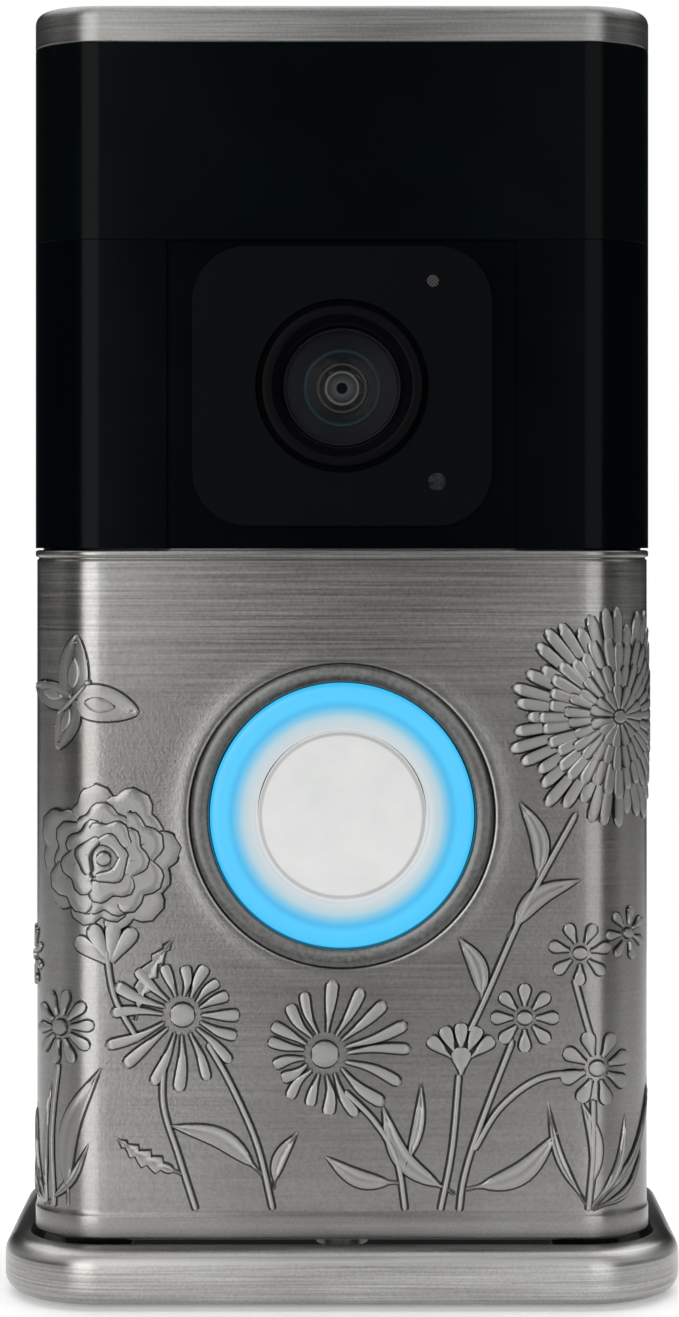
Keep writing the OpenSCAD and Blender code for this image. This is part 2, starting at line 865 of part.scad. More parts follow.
module tactile_switch() {
    half = switch_w / 2;
    color("silver")
    difference() {
        span([-half, switch_y, button_z - half], [half, led_board_y, button_z + half]);
        rod_y([0, button_z], plunger_tip_r + tip_gap, switch_y - cut, led_board_y - switch_floor);
    }
}

module button_cap() {
    color([0.9, 0.9, 0.88]) turn_y([0, button_z], [
        [0, button_front], [button_r - edge, button_front], [button_r, button_front + edge],
        [button_r, seal_y - seal_r - run_gap], [button_r - seal_groove, seal_y - seal_r - run_gap],
        [button_r - seal_groove, seal_y + seal_r + run_gap], [button_r, seal_y + seal_r + run_gap],
        [button_r, button_flange_y], [button_flange_r, button_flange_y],
        [button_flange_r, button_flange_y + button_flange_t],
        [button_r - button_wall, button_flange_y + button_flange_t],
        [button_r - button_wall, button_front + button_skin], [0, button_front + button_skin]
    ]);
}

module button_plunger() {
    color("gray") {
        union() {
            rod_y([0, button_z], plunger_r, button_front + button_skin, plunger_end);
            rod_y([0, button_z], plunger_tip_r, plunger_end,
                led_board_y - switch_floor - button_travel - tip_gap);
        }
    }
}

module button_seal() {
    color("black") translate([0, seal_y, button_z]) rotate([-90, 0, 0])
        rotate_extrude() translate([ring_bore - run_gap - seal_r, 0]) circle(seal_r);
}

// ---- Boards and other inner parts ----

module main_board() {
    color("darkgreen")
    difference() {
        span([-board_x, board_y, board_z0], [board_x, board_back, board_z1]);
        both_sides() for (z = screw_zs) rod_y([screw_x, z], board_hole_r, board_y - cut, board_back + cut);
        span([-tail_w / 2, board_y - cut, 0], [tail_w / 2, board_back + cut, board_z0 + 2 * flex_t]);
    }
}

module rf_shield() {
    color("lightgray")
    difference() {
        span([shield_low[0], board_back, shield_low[1]],
            [shield_high[0], board_back + shield_h, shield_high[1]]);
        span([shield_low[0] + shield_t, board_back - cut, shield_low[1] + shield_t],
            [shield_high[0] - shield_t, board_back + shield_h - shield_t, shield_high[1] - shield_t]);
    }
}

module wifi_antenna() {
    color("goldenrod") {
        union() {
            span([antenna_x[0], antenna_y, antenna_z[1]],
                [antenna_x[1], antenna_y + antenna_t, antenna_z[2]]);
            span([antenna_x[0], antenna_y, antenna_z[0]],
                [antenna_x[0] + antenna_foot, board_y, antenna_z[2]]);
        }
    }
}

module speaker() {
    x0 = -side_x + housing_t + speaker_gasket_t;
    color([0.15, 0.15, 0.16])
    difference() {
        span([x0, speaker_y0, speaker_z0], [x0 + speaker_t - speaker_gasket_t, speaker_y1, speaker_z1]);
        span([x0 - cut, speaker_y0 + speaker_rim, speaker_z0 + speaker_rim],
            [x0 + speaker_dish, speaker_y1 - speaker_rim, speaker_z1 - speaker_rim]);
    }
}

module speaker_gasket() {
    x0 = -side_x + housing_t;
    color("black")
    difference() {
        span([x0, speaker_y0, speaker_z0], [x0 + speaker_gasket_t, speaker_y1, speaker_z1]);
        span([x0 - cut, speaker_y0 + speaker_rim, speaker_z0 + speaker_rim],
            [x0 + speaker_gasket_t + cut, speaker_y1 - speaker_rim, speaker_z1 - speaker_rim]);
    }
}

module terminal_block() {
    color([0.2, 0.2, 0.21])
    difference() {
        span([-terminal_w / 2, board_back, terminal_z - terminal_h / 2],
            [terminal_w / 2, terminal_face, terminal_z + terminal_h / 2]);
        both_sides() {
            rod_y([terminal_x, terminal_z], terminal_head_r + head_gap, terminal_head_y - tip_gap,
                terminal_face + cut);
            rod_y([terminal_x, terminal_z], terminal_shank_r + run_gap, terminal_shank_y - head_gap,
                terminal_face);
        }
    }
}

module terminal_screw(x) {
    difference() {
        union() {
            rod_y([x, terminal_z], terminal_head_r, terminal_head_y, terminal_face - tip_gap);
            rod_y([x, terminal_z], terminal_shank_r, terminal_shank_y, terminal_head_y);
        }
        for (a = [0, 90]) translate([x, terminal_face, terminal_z]) rotate([0, a, 0])
            cube(terminal_slot, center = true);
    }
}

module terminal_screw_left() color("gainsboro") terminal_screw(-terminal_x);
module terminal_screw_right() color("gainsboro") terminal_screw(terminal_x);

module setup_switch() {
    half = setup_switch_w / 2;
    color("silver") span([-half, board_back, setup_z - half], [half, setup_switch_y, setup_z + half]);
}

module setup_button() {
    flange_y = back_wall_y - slide_gap;
    color("darkorange") {
        union() {
            rod_y([0, setup_z], setup_r, flange_y - fuse, setup_face);
            rod_y([0, setup_z], setup_r + setup_flange, flange_y - setup_flange_t, flange_y);
            rod_y([0, setup_z], setup_pin_r, setup_pin_y, flange_y - fuse);
        }
    }
}

// ---- Battery ----

module battery_sleeve() {
    outer = bay_x + sleeve_t;
    color([0.17, 0.17, 0.18])
    difference() {
        span([-outer, bay_y - sleeve_t, floor_top], [outer, back_wall_y, sleeve_top + sleeve_t]);
        span([-bay_x, bay_y, floor_top - cut], [bay_x, back_wall_y + cut, sleeve_top]);
        span([-latch_w / 2 - latch_gap, bay_y - sleeve_t - cut, floor_top - cut],
            [latch_w / 2 + latch_gap, bay_y + cut, latch_top + latch_gap]);
        span([-contact_x, pin_y - contact_way, sleeve_top - cut],
            [contact_x, pin_y + contact_way, sleeve_top + sleeve_t + cut]);
    }
}

module contact_block() {
    z0 = sleeve_top + sleeve_t + pin_gap;
    color([0.1, 0.1, 0.1]) span([-contact_x, board_back, z0], [contact_x, contact_back, z0 + contact_h]);
}

module contact_pins() {
    color("gold") for (x = pin_xs) rod_z([x, pin_y], pin_r, battery_z1 + pin_gap,
        sleeve_top + sleeve_t + pin_gap);
}

module battery_outline(inset) {
    round_plan(battery_w / 2 - inset, battery_y0 + inset, battery_y1 - inset, battery_r - inset / 2);
}

module battery_case() {
    color([0.2, 0.2, 0.22])
    difference() {
        translate([0, 0, battery_cap_top]) linear_extrude(battery_z1 - battery_cap_top) battery_outline(0);
        translate([0, 0, battery_cap_top - cut])
            linear_extrude(battery_z1 - case_t - battery_cap_top + cut) battery_outline(case_t);
    }
}

module battery_cap() {
    color([0.1, 0.1, 0.1])
    difference() {
        translate([0, 0, battery_z0]) linear_extrude(battery_cap_top - battery_z0) battery_outline(0);
        span([-latch_w / 2 - slide_gap, battery_y0 - cut, battery_z0 - cut],
            [latch_w / 2 + slide_gap, latch_root_y + latch_travel + slide_gap, latch_top + slide_gap]);
        span([finger_low[0], finger_low[1], battery_z0 - cut],
            [finger_high[0], finger_high[1], battery_z0 + finger_h]);
    }
}

module battery_cell() {
    color("steelblue") translate([0, 0, battery_cap_top])
        linear_extrude(cell_h) battery_outline(case_t + cell_gap);
}

module battery_board() {
    color("darkgreen") span([-cell_board[0] / 2, cell_board_y, cell_board[2]],
        [cell_board[0] / 2, cell_board_y + cell_board[1], battery_z1 - case_t - slide_gap]);
}

module battery_latch() {
    color([0.25, 0.25, 0.26])
    difference() {
        span([-latch_w / 2, latch_y, battery_z0 + latch_foot], [latch_w / 2, latch_root_y, latch_top]);
        for (z = latch_ribs) span([-latch_w / 2 - cut, latch_y - cut, z],
            [latch_w / 2 + cut, latch_y + latch_rib_t, z + latch_rib_h]);
    }
}

// ---- Faceplate ----

module faceplate_shell() {
    color([0.55, 0.54, 0.52])
    difference() {
        union() {
            front_shell(0, plate_t, plate_bottom, plate_edge, plate_back);
            difference() {
                slab(lip_inset, plate_bottom, plate_bottom + lip_t);
                behind(lip_y);
            }
        }
        rod_y([0, button_z], bezel_r + run_gap, front_y - cut, front_y + plate_t + cut);
        rod_z([0, security_y], notch_r, 0, chassis_bottom);
        span([-notch_r, security_y, 0], [notch_r, 0, chassis_bottom]);
    }
}

module faceplate_carrier() {
    color([0.15, 0.15, 0.16])
    difference() {
        union() {
            front_shell(plate_t, liner_inset, plate_bottom + lip_t, liner_top, liner_back);
            both_sides() for (z = peg_zs)
                rod_y([peg_x, z], peg_r, front_y + liner_inset - edge, chassis_y + 2 * chassis_t);
        }
        rod_y([0, button_z], bezel_flange_r + tip_gap, front_y, 0);
    }
}

module button_bezel() {
    inner = ring_r + slide_gap;
    back = front_y + liner_inset;
    color([0.6, 0.58, 0.55]) turn_y([0, button_z], [
        [inner, back], [inner, front_y + 0.35], [inner + 0.5, front_y - 0.05],
        [bezel_r - 0.6, front_y - 0.35], [bezel_r - 0.15, front_y - 0.2], [bezel_r, front_y + 0.1],
        [bezel_r, front_y + plate_t], [bezel_flange_r, front_y + plate_t], [bezel_flange_r, back]
    ]);
}

module security_screw() {
    head_top = plate_bottom - 0.1;
    color("gainsboro")
    difference() {
        union() {
            rod_z([0, security_y], security_head_r, security_z0, head_top);
            rod_z([0, security_y], security_r, head_top, security_z1);
        }
        translate([0, security_y, security_z0 - cut])
            cylinder(h = cut + security_socket[1], r = security_socket[0], $fn = 6);
    }
}

base_pad();
base_collar();
wall_bracket();
collar_screws();
rear_housing();
front_chassis();
housing_gasket();
housing_screws();
top_cap();
sensor_window();
camera_fascia();
camera_plate();
lens_trim_ring();
lens_cover_glass();
lens_barrel();
lens_front_element();
lens_inner_element();
ir_filter();
image_sensor();
camera_board();
camera_connector();
ir_led_board();
ir_leds();
light_sensor_lens();
mic_mesh();
microphone();
motion_sensor();
motion_sensor_lens();
motion_sensor_board();
light_ring();
light_guide();
button_leds();
led_ring_board();
button_flex();
tactile_switch();
main_board();
rf_shield();
wifi_antenna();
speaker();
speaker_gasket();
battery_sleeve();
contact_block();
contact_pins();
terminal_block();
setup_switch();
faceplate_shell();
faceplate_carrier();
button_bezel();
button_cap();
button_plunger();
button_seal();
battery_case();
battery_cap();
battery_cell();
battery_board();
battery_latch();
setup_button();
security_screw();
terminal_screw_left();
terminal_screw_right();
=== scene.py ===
import json
import math
import random
from functools import cache, partial

import bmesh
import bpy
import numpy as np
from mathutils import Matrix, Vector

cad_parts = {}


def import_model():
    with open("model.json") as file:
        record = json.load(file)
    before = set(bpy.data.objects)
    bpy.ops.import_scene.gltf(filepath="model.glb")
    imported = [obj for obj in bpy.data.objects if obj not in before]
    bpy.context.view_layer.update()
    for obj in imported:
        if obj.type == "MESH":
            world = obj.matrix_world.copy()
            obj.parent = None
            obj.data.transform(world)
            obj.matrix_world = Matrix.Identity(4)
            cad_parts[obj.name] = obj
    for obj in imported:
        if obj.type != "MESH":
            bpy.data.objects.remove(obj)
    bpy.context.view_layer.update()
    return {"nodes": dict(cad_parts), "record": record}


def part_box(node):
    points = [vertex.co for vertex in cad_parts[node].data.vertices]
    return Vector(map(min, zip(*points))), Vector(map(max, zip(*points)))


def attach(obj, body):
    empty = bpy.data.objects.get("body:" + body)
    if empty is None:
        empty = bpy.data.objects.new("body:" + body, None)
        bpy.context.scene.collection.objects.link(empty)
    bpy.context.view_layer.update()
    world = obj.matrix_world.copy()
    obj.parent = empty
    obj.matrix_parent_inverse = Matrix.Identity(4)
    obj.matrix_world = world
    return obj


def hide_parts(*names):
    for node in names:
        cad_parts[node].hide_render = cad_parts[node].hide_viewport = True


# The looks of a video doorbell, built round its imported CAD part.
# Shapes are worked out in millimetres in the part's frame: +X right, -Y forwards, +Z up.
# Materials measure in the part's metres.

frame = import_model()

MM = 0.001


def box_mm(node):
    """Lowest and highest corner of a CAD node, in millimetres."""
    low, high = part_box(node)
    return np.array(low) / MM, np.array(high) / MM


def axis_of(node):
    """(x, z) of the middle of a round CAD node whose axis lies along Y, in millimetres."""
    low, high = box_mm(node)
    middle = (low + high) / 2
    return middle[0], middle[2]


def round_node(node):
    """Radius, front and back of a round CAD node whose axis lies along Y, in millimetres."""
    low, high = box_mm(node)
    return (high[0] - low[0]) / 2, low[1], high[1]


# ---- The body's outline ----

PLATE_LOW, PLATE_HIGH = box_mm("faceplate_shell")
BACK_LOW, BACK_HIGH = box_mm("rear_housing")
HALF = PLATE_HIGH[0]
FRONT = PLATE_LOW[1]
CORNER = 7.0
BACK_CORNER = 3.0
FLAT = HALF - CORNER
QUARTER = CORNER * math.pi / 2
BUTTON = axis_of("button_cap")
LENS = axis_of("lens_trim_ring")


def wrap(u, z, h=0.0):
    """Points on the body's rounded front: u runs along the outline from the middle of the front,
    z is the height, and h stands outwards."""
    u, z, h = np.broadcast_arrays(np.asarray(u, float), np.asarray(z, float), np.asarray(h, float))
    along = np.abs(u)
    turn = np.clip((along - FLAT) / CORNER, 0, math.pi / 2)
    x = np.minimum(along, FLAT) + (CORNER + h) * np.sin(turn)
    y = FRONT + CORNER - (CORNER + h) * np.cos(turn) + np.maximum(along - FLAT - QUARTER, 0)
    return np.stack([np.sign(u) * x, y, z], -1)


def outline_path(back_y, corner_steps=20):
    """Values of u from the left back edge round the front to the right back edge."""
    side = FLAT + QUARTER + back_y - FRONT - CORNER
    right = np.concatenate([np.linspace(FLAT, FLAT + QUARTER, corner_steps + 1), [side]])
    return np.concatenate([-right[::-1], right])


def arc(x, y, r, start, end, steps):
    """Points along an arc, from one angle to another in degrees."""
    angles = np.radians(np.linspace(start, end, steps + 1))
    return [(x + r * math.cos(a), y + r * math.sin(a)) for a in angles]


def front_outline(reach, r, steps=16):
    """The two front corners of a plan, right to left: reach is its half width."""
    y = FRONT + CORNER
    return arc(reach - r, y, r, 0, -90, steps) + arc(r - reach, y, r, -90, -180, steps)


def full_outline(inset, front_steps=16, back_steps=10):
    """The whole plan outline of the body, moved inwards."""
    front_r = CORNER - inset
    back_r = max(BACK_CORNER - inset, 0.5)
    half = HALF - inset
    front, back = FRONT + CORNER, BACK_HIGH[1] - inset - back_r
    return np.array(
        arc(half - front_r, front, front_r, -90, 0, front_steps)
        + arc(half - back_r, back, back_r, 0, 90, back_steps)
        + arc(back_r - half, back, back_r, 90, 180, back_steps)
        + arc(front_r - half, front, front_r, 180, 270, front_steps)
    )


# ---- Mesh helpers ----

def fillet(points, radius, steps=4):
    """A closed polygon with each corner rounded by about that radius."""
    p = np.array(points, float)
    rounded = []
    for before, corner, after in zip(np.roll(p, 1, 0), p, np.roll(p, -1, 0)):
        to_before, to_after = before - corner, after - corner
        reach = min(radius, 0.45 * np.linalg.norm(to_before), 0.45 * np.linalg.norm(to_after))
        a = corner + to_before / np.linalg.norm(to_before) * reach
        b = corner + to_after / np.linalg.norm(to_after) * reach
        for t in np.linspace(0, 1, steps + 1):
            rounded.append((1 - t) ** 2 * a + 2 * t * (1 - t) * corner + t * t * b)
    return np.array(rounded)


def ring_faces(count, size, closed=False):
    """Quads between count rings of size points each, and from the last back to the first if closed."""
    total = count * size
    return [
        tuple(n % total for n in (i * size + j, i * size + (j + 1) % size,
                                  (i + 1) * size + (j + 1) % size, (i + 1) * size + j))
        for i in range(count if closed else count - 1) for j in range(size)
    ]


def loft(rings):
    """A closed solid through rings of equally many points, with a face on its first and last ring."""
    size = len(rings[0])
    last = (len(rings) - 1) * size
    faces = ring_faces(len(rings), size)
    faces += [tuple(range(size))[::-1], tuple(range(last, last + size))]
    return np.concatenate(rings), faces


def swept(profile, us):
    """A closed profile of [outward offset, height] carried along the body's outline."""
    profile = np.array(profile, float)
    return loft([wrap(u, profile[:, 1], profile[:, 0]) for u in us])


def prism(plan, low, high):
    """A plan outline between two heights."""
    return loft([np.column_stack([plan, np.full(len(plan), z)]) for z in (low, high)])


def turned(profile, axis, segments=144):
    """A closed profile of [radius, y] turned about an axis along Y."""
    profile = np.array(profile, float)
    rings = [
        np.column_stack([
            axis[0] + profile[:, 0] * math.sin(a), profile[:, 1], axis[1] + profile[:, 0] * math.cos(a)
        ])
        for a in np.linspace(0, 2 * math.pi, segments + 1)[:-1]
    ]
    return np.concatenate(rings), ring_faces(segments, len(profile), closed=True)


def joined(*solids):
    """Several solids as one list of points and faces."""
    points, faces, first = [], [], 0
    for solid_points, solid_faces in solids:
        points.append(solid_points)
        faces += [tuple(first + i for i in face) for face in solid_faces]
        first += len(solid_points)
    return np.concatenate(points), faces


def in_scene(name, data):
    """A new object in the scene."""
    obj = bpy.data.objects.new(name, data)
    bpy.context.scene.collection.objects.link(obj)
    return obj


def add_mesh(name, solid, weld=True, crease=None):
    """A mesh object from millimetre points and faces, with its faces turned outwards. Its edges
    are sharp where they fold by more than crease degrees."""
    points, faces = solid
    mesh = bpy.data.meshes.new(name)
    mesh.from_pydata((np.asarray(points) * MM).tolist(), [], faces)
    shape = bmesh.new()
    shape.from_mesh(mesh)
    if weld:
        touching = 1e-7
        bmesh.ops.remove_doubles(shape, verts=shape.verts, dist=touching)
        bmesh.ops.dissolve_degenerate(shape, edges=shape.edges, dist=touching)
    bmesh.ops.recalc_face_normals(shape, faces=shape.faces)
    shape.to_mesh(mesh)
    shape.free()
    mesh.polygons.foreach_set("use_smooth", [True] * len(mesh.polygons))
    if crease:
        mesh.set_sharp_from_angle(angle=math.radians(crease))
    return in_scene(name, mesh)


def shade_mesh(obj, patina_and_painted_light):
    """Gives each point of obj its darkening and lightening value: antiquing and polish on the relief,
    painted shade and a painted highlight on the collar's rim.
    """
    shade = obj.data.attributes.new("patina_and_painted_light", "FLOAT", "POINT")
    shade.data.foreach_set("value", patina_and_painted_light)


def carve(obj, *solids):
    """Cuts the solids out of obj."""
    cutters = [add_mesh(f"cutter_{i}", solid) for i, solid in enumerate(solids)]
    for cutter in cutters:
        cut = obj.modifiers.new("cut", "BOOLEAN")
        cut.object = cutter
        cut.solver = "EXACT"
    graph = bpy.context.evaluated_depsgraph_get()
    mesh = bpy.data.meshes.new_from_object(obj.evaluated_get(graph))
    obj.modifiers.clear()
    obj.data = mesh
    for cutter in cutters:
        bpy.data.objects.remove(cutter)
    return obj


def soften(obj, width):
    """Rounds the sharp edges of obj and keeps its flat faces flat to the light."""
    bevel = obj.modifiers.new("round", "BEVEL")
    bevel.width = width * MM
    bevel.segments = 3
    bevel.limit_method = "ANGLE"
    bevel.angle_limit = math.radians(35)
    even = obj.modifiers.new("even", "WEIGHTED_NORMAL")
    even.keep_sharp = True
    return obj


def piece(obj, body, slot, *replaced):
    """Makes obj a piece of the doorbell with its slot's finish."""
    obj.data.materials.clear()
    obj.data.materials.append(finish(slot))
    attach(obj, body)
    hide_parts(*replaced)
    return obj


CENTRE = 0.002         # radius of a turned profile's points on its axis


def turned_piece(name, profile, axis, crease, body, slot, replaced, segments=144):
    """A piece turned about an axis along Y."""
    return piece(add_mesh(name, turned(profile, axis, segments), crease=crease), body, slot, replaced)


# ---- Materials ----

def grey(level):
    return (level, level, level)


def scaled(tone, share):
    """A colour made darker or lighter."""
    return tuple(share * c for c in tone)


def feed(socket, value):
    """Links an output to a socket, or gives the socket a value of its own."""
    if isinstance(value, bpy.types.NodeSocket):
        socket.id_data.links.new(value, socket)
    else:
        socket.default_value = (*value, 1) if socket.type == "RGBA" else value


def add_node(tree, kind, inputs, **settings):
    """A node with its settings, and with its inputs fed."""
    node = tree.nodes.new(kind)
    for name, value in settings.items():
        setattr(node, name, value)
    for name, value in inputs.items():
        feed(node.inputs[name], value)
    return node


def place(tree):
    """Coordinates in the part's own frame."""
    return tree.nodes.new("ShaderNodeTexCoord").outputs["Object"]


def noise(tree, scale, stretch=(1, 1, 1), detail=4.0, roughness=0.55):
    """A noise; scale is in waves a metre, and stretch multiplies it by axis."""
    mapping = add_node(tree, "ShaderNodeMapping",
                       {"Vector": place(tree), "Scale": [scale * s for s in stretch]})
    texture = add_node(tree, "ShaderNodeTexNoise", {
        "Vector": mapping.outputs["Vector"], "Scale": 1.0, "Detail": detail, "Roughness": roughness})
    return texture.outputs["Fac"]


def ramp(tree, value, stops):
    """A colour ramp: stops are (position, colour)."""
    node = add_node(tree, "ShaderNodeValToRGB", {"Fac": value})
    elements = node.color_ramp.elements
    while len(elements) < len(stops):
        elements.new(0.5)
    for element, (position, color) in zip(elements, stops):
        element.position = position
        element.color = (*color, 1)
    return node.outputs["Color"]


def remap(tree, value, low, high, start=0.3, end=0.7):
    """A value between start and end, spread between low and high."""
    node = add_node(tree, "ShaderNodeMapRange", {
        "Value": value, "From Min": start, "From Max": end, "To Min": low, "To Max": high})
    return node.outputs["Result"]


def blend(tree, amount, a, b, mode="MIX"):
    """Colour a turned into colour b by an amount."""
    node = add_node(tree, "ShaderNodeMix", {}, data_type="RGBA", blend_type=mode)
    in_use = {socket.name: socket for socket in node.inputs if socket.enabled}
    for name, value in (("Factor", amount), ("A", a), ("B", b)):
        feed(in_use[name], value)
    return next(socket for socket in node.outputs if socket.enabled)


def bump(tree, height, depth, **others):
    """Normals of a height that stands up by depth, in millimetres."""
    node = add_node(tree, "ShaderNodeBump",
                    {"Height": height, "Distance": depth * MM, "Strength": 1.0, **others})
    return node.outputs["Normal"]


def between_radii(tree, axis, inner, outer):
    """0 to 1 from one radius to another, in millimetres, round an axis along Y."""
    mapping = add_node(tree, "ShaderNodeMapping", {
        "Vector": place(tree), "Location": (-axis[0], 0, -axis[1]), "Scale": (1 / MM, 0, 1 / MM)})
    length = add_node(tree, "ShaderNodeVectorMath", {0: mapping.outputs["Vector"]}, operation="LENGTH")
    return remap(tree, length.outputs["Value"], 0, 1, inner, outer)


def material(name, maker, *settings):
    """A material whose shader is fed with the sockets that its maker returns."""
    mat = bpy.data.materials.new(name)
    mat.use_nodes = True
    shader = mat.node_tree.nodes["Principled BSDF"]
    for socket, value in maker(mat.node_tree, *settings).items():
        feed(shader.inputs[socket], value)
    return mat


def surface(tree, dark, light, rough, scale=1500, stretch=(1, 1, 1), depth=0.01, metallic=0.0,
            specular=0.5):
    """A grained finish: colour, roughness and relief follow one noise, and wider blotches shade it."""
    grain = noise(tree, scale, stretch)
    colour = ramp(tree, grain, [(0.3, dark), (0.7, light)])
    shade = ramp(tree, noise(tree, 90, detail=3), [(0.35, grey(0.86)), (0.65, grey(1))])
    return {
        "Base Color": blend(tree, 1.0, colour, shade, "MULTIPLY"), "Roughness": remap(tree, grain, *rough),
        "Normal": bump(tree, grain, depth), "Metallic": metallic, "Specular IOR Level": specular,
    }


def moulded(tree, tone, rough=(0.42, 0.56), scale=2600, depth=0.012):
    """Plastic with a fine spark-eroded grain."""
    return surface(tree, tone, scaled(tone, 1.25), rough, scale, depth=depth)


def turned_metal(tree, tone, rough=(0.22, 0.4), stretch=(1, 1, 1)):
    """Plated or turned metal with fine scratches."""
    return surface(tree, scaled(tone, 0.8), tone, rough, 1800, stretch, 0.004, metallic=1.0)


def gloss(tree, tone, rough, depth=0.0, specular=0.035):
    """Smooth lacquered plastic with a faint haze of handling marks, and a grain where it has a depth."""
    haze = noise(tree, 70, detail=5)
    grain = {"Normal": bump(tree, noise(tree, 2400), depth)} if depth else {}
    return {
        "Base Color": ramp(tree, haze, [(0.3, tone), (0.7, scaled(tone, 1.15))]),
        "Roughness": remap(tree, haze, *rough), "Specular IOR Level": specular, **grain,
    }


def pewter(tree, tone, rough, brushing, anisotropic, smooth_below=None):
    """Aged metal brushed along the outline. An attribute darkens towards 1 and lightens towards -1: dark
    antiquing in the relief's hollows and its polished tops, and painted shade and a painted highlight on
    the collar's rim. The brushing gives way to a fine grain below a height in millimetres."""
    lines = noise(tree, 1.0, (55, 55, 5200), detail=5, roughness=0.62)
    fleck = noise(tree, 3600, detail=3)
    cloud = noise(tree, 55, (1, 1, 1.6), detail=4)
    colour = ramp(tree, lines, [(0.32, scaled(tone, 0.68)), (0.68, scaled(tone, 1.22))])
    grain = bump(tree, fleck, 0.003)
    ridges = bump(tree, lines, brushing, Normal=grain)
    if smooth_below:
        height = add_node(tree, "ShaderNodeSeparateXYZ", {0: place(tree)}).outputs["Z"]
        band = (smooth_below - 5) * MM, (smooth_below + 5) * MM
        colour = blend(tree, remap(tree, height, 0.25, 1, *band), scaled(tone, 0.93), colour)
        feed(ridges.node.inputs["Strength"], remap(tree, height, 0.2, 1, *band))
        feed(grain.node.inputs["Strength"], remap(tree, height, 3, 1, *band))
    aged = ramp(tree, cloud, [(0.33, (0.84, 0.83, 0.82)), (0.67, grey(1))])
    colour = blend(tree, 1.0, colour, aged, "MULTIPLY")
    speck = ramp(tree, fleck, [(0.3, grey(0.78)), (0.64, grey(1))])
    colour = blend(tree, 0.8, colour, speck, "MULTIPLY")
    patina_and_painted_light = add_node(tree, "ShaderNodeAttribute", {}, attribute_name="patina_and_painted_light").outputs["Fac"]
    # Lightening colour for polish and painted highlight, darkening colour for antiquing and painted shade.
    wear_and_highlight, antiquing_and_shade = scaled(tone, 1.1), grey(0.035)
    # Lighter below 0: polished tops on the relief, a painted highlight on the collar's rim.
    colour = blend(tree, remap(tree, patina_and_painted_light, 0, 1, 0, -1), colour, wear_and_highlight)
    # Near black above 0: antiquing in the relief's hollows, painted shade along the collar's rim.
    colour = blend(tree, remap(tree, patina_and_painted_light, 0, 1, 0, 1), colour, antiquing_and_shade)
    worn = remap(tree, patina_and_painted_light, 0, 0.16, 0, -1)
    sheen = add_node(tree, "ShaderNodeMath", {0: remap(tree, lines, *rough), 1: worn}, operation="ADD")
    direction = add_node(tree, "ShaderNodeTangent", {}, direction_type="RADIAL", axis="Z")
    return {
        "Base Color": colour, "Roughness": sheen.outputs[0], "Normal": ridges, "Metallic": 1.0,
        "Tangent": direction.outputs["Tangent"], "Anisotropic": anisotropic, "Anisotropic Rotation": 0.25,
    }


def glowing_ring(tree):
    """The diffuser: white next to the button, which softens into blue outside it."""
    radius = between_radii(tree, BUTTON, 8.5, 13.0)
    glow = ramp(tree, radius, [
        (0, (0.62, 0.64, 0.65)), (0.2, (0.5, 0.61, 0.64)), (0.29, (0.43, 0.59, 0.65)),
        (0.38, (0.25, 0.53, 0.68)), (0.47, (0.12, 0.48, 0.74)), (0.55, (0.04, 0.44, 0.76)),
        (0.68, (0.06, 0.55, 0.9)), (1, (0.05, 0.52, 0.88)),
    ])
    mist = ramp(tree, noise(tree, 120, detail=3), [(0.3, (0.93, 0.94, 0.98)), (0.7, grey(1))])
    return {
        "Base Color": ramp(tree, radius, [(0, grey(0.04)), (0.5, (0.01, 0.05, 0.08))]),
        "Emission Color": blend(tree, 1.0, glow, mist, "MULTIPLY"), "Emission Strength": 1.0,
        "Roughness": 0.35, "Normal": bump(tree, noise(tree, 3000), 0.003),
    }


def button_white(tree):
    """Satin white plastic with a faint glow that is painted light, and a grey ring of painted shade close
    to its edge.
    """
    mottle = noise(tree, 260, detail=3)
    white = ramp(tree, mottle, [(0.3, (0.6, 0.61, 0.6)), (0.7, (0.66, 0.66, 0.65))])
    # A grey ring of painted shade where the disc's edge rounds off.
    painted_edge_shade = ramp(tree, between_radii(tree, BUTTON, 7.6, 8.4), [
        (0.3, grey(1)), (0.55, (0.66, 0.67, 0.67)), (0.75, (0.7, 0.71, 0.71)), (0.95, grey(1)),
    ])
    white = blend(tree, 1.0, white, painted_edge_shade, "MULTIPLY")
    return {
        # The faint emission is painted light that brightens the disc.
        "Base Color": white, "Emission Color": white, "Emission Strength": 0.22,
        "Roughness": remap(tree, mottle, 0.38, 0.5), "Specular IOR Level": 0.3,
        "Normal": bump(tree, noise(tree, 2600), 0.006),
    }


def painted_lens_reflections(tree):
    """The stepped barrel behind the lens, its steps painted with glowing reflections in the colours of the
    lens coatings.
    """
    black, pupil = (0.004, 0.005, 0.007), (0.002, 0.002, 0.003)
    # Painted reflections: bright rings of teal and gold on the dark steps.
    colour = ramp(tree, between_radii(tree, LENS, 0, 6), [
        (0, pupil), (0.09, pupil), (0.1, (0.09, 0.095, 0.1)), (0.17, (0.05, 0.055, 0.06)),
        (0.24, grey(0.02)), (0.267, (0.2, 0.2, 0.17)), (0.3, black), (0.37, black),
        (0.4, (0.075, 0.068, 0.05)), (0.43, black), (0.58, black), (0.62, (0.02, 0.05, 0.055)),
        (0.66, black), (1, (0.006, 0.005, 0.008)),
    ])
    return {
        # The emission makes the painted reflections glow.
        "Base Color": colour, "Emission Color": colour, "Emission Strength": 0.6,
        "Roughness": remap(tree, noise(tree, 1800), 0.3, 0.45), "Specular IOR Level": 0.2,
    }


def coated(tree, tint, alpha):
    """Thin coated glass, more or less clear."""
    film = noise(tree, 120, detail=2)
    return {
        "Base Color": ramp(tree, film, [(0.3, tint), (0.7, scaled(tint, 1.1))]),
        "Roughness": remap(tree, film, 0.03, 0.06), "Alpha": alpha, "Specular IOR Level": 0.12,
    }


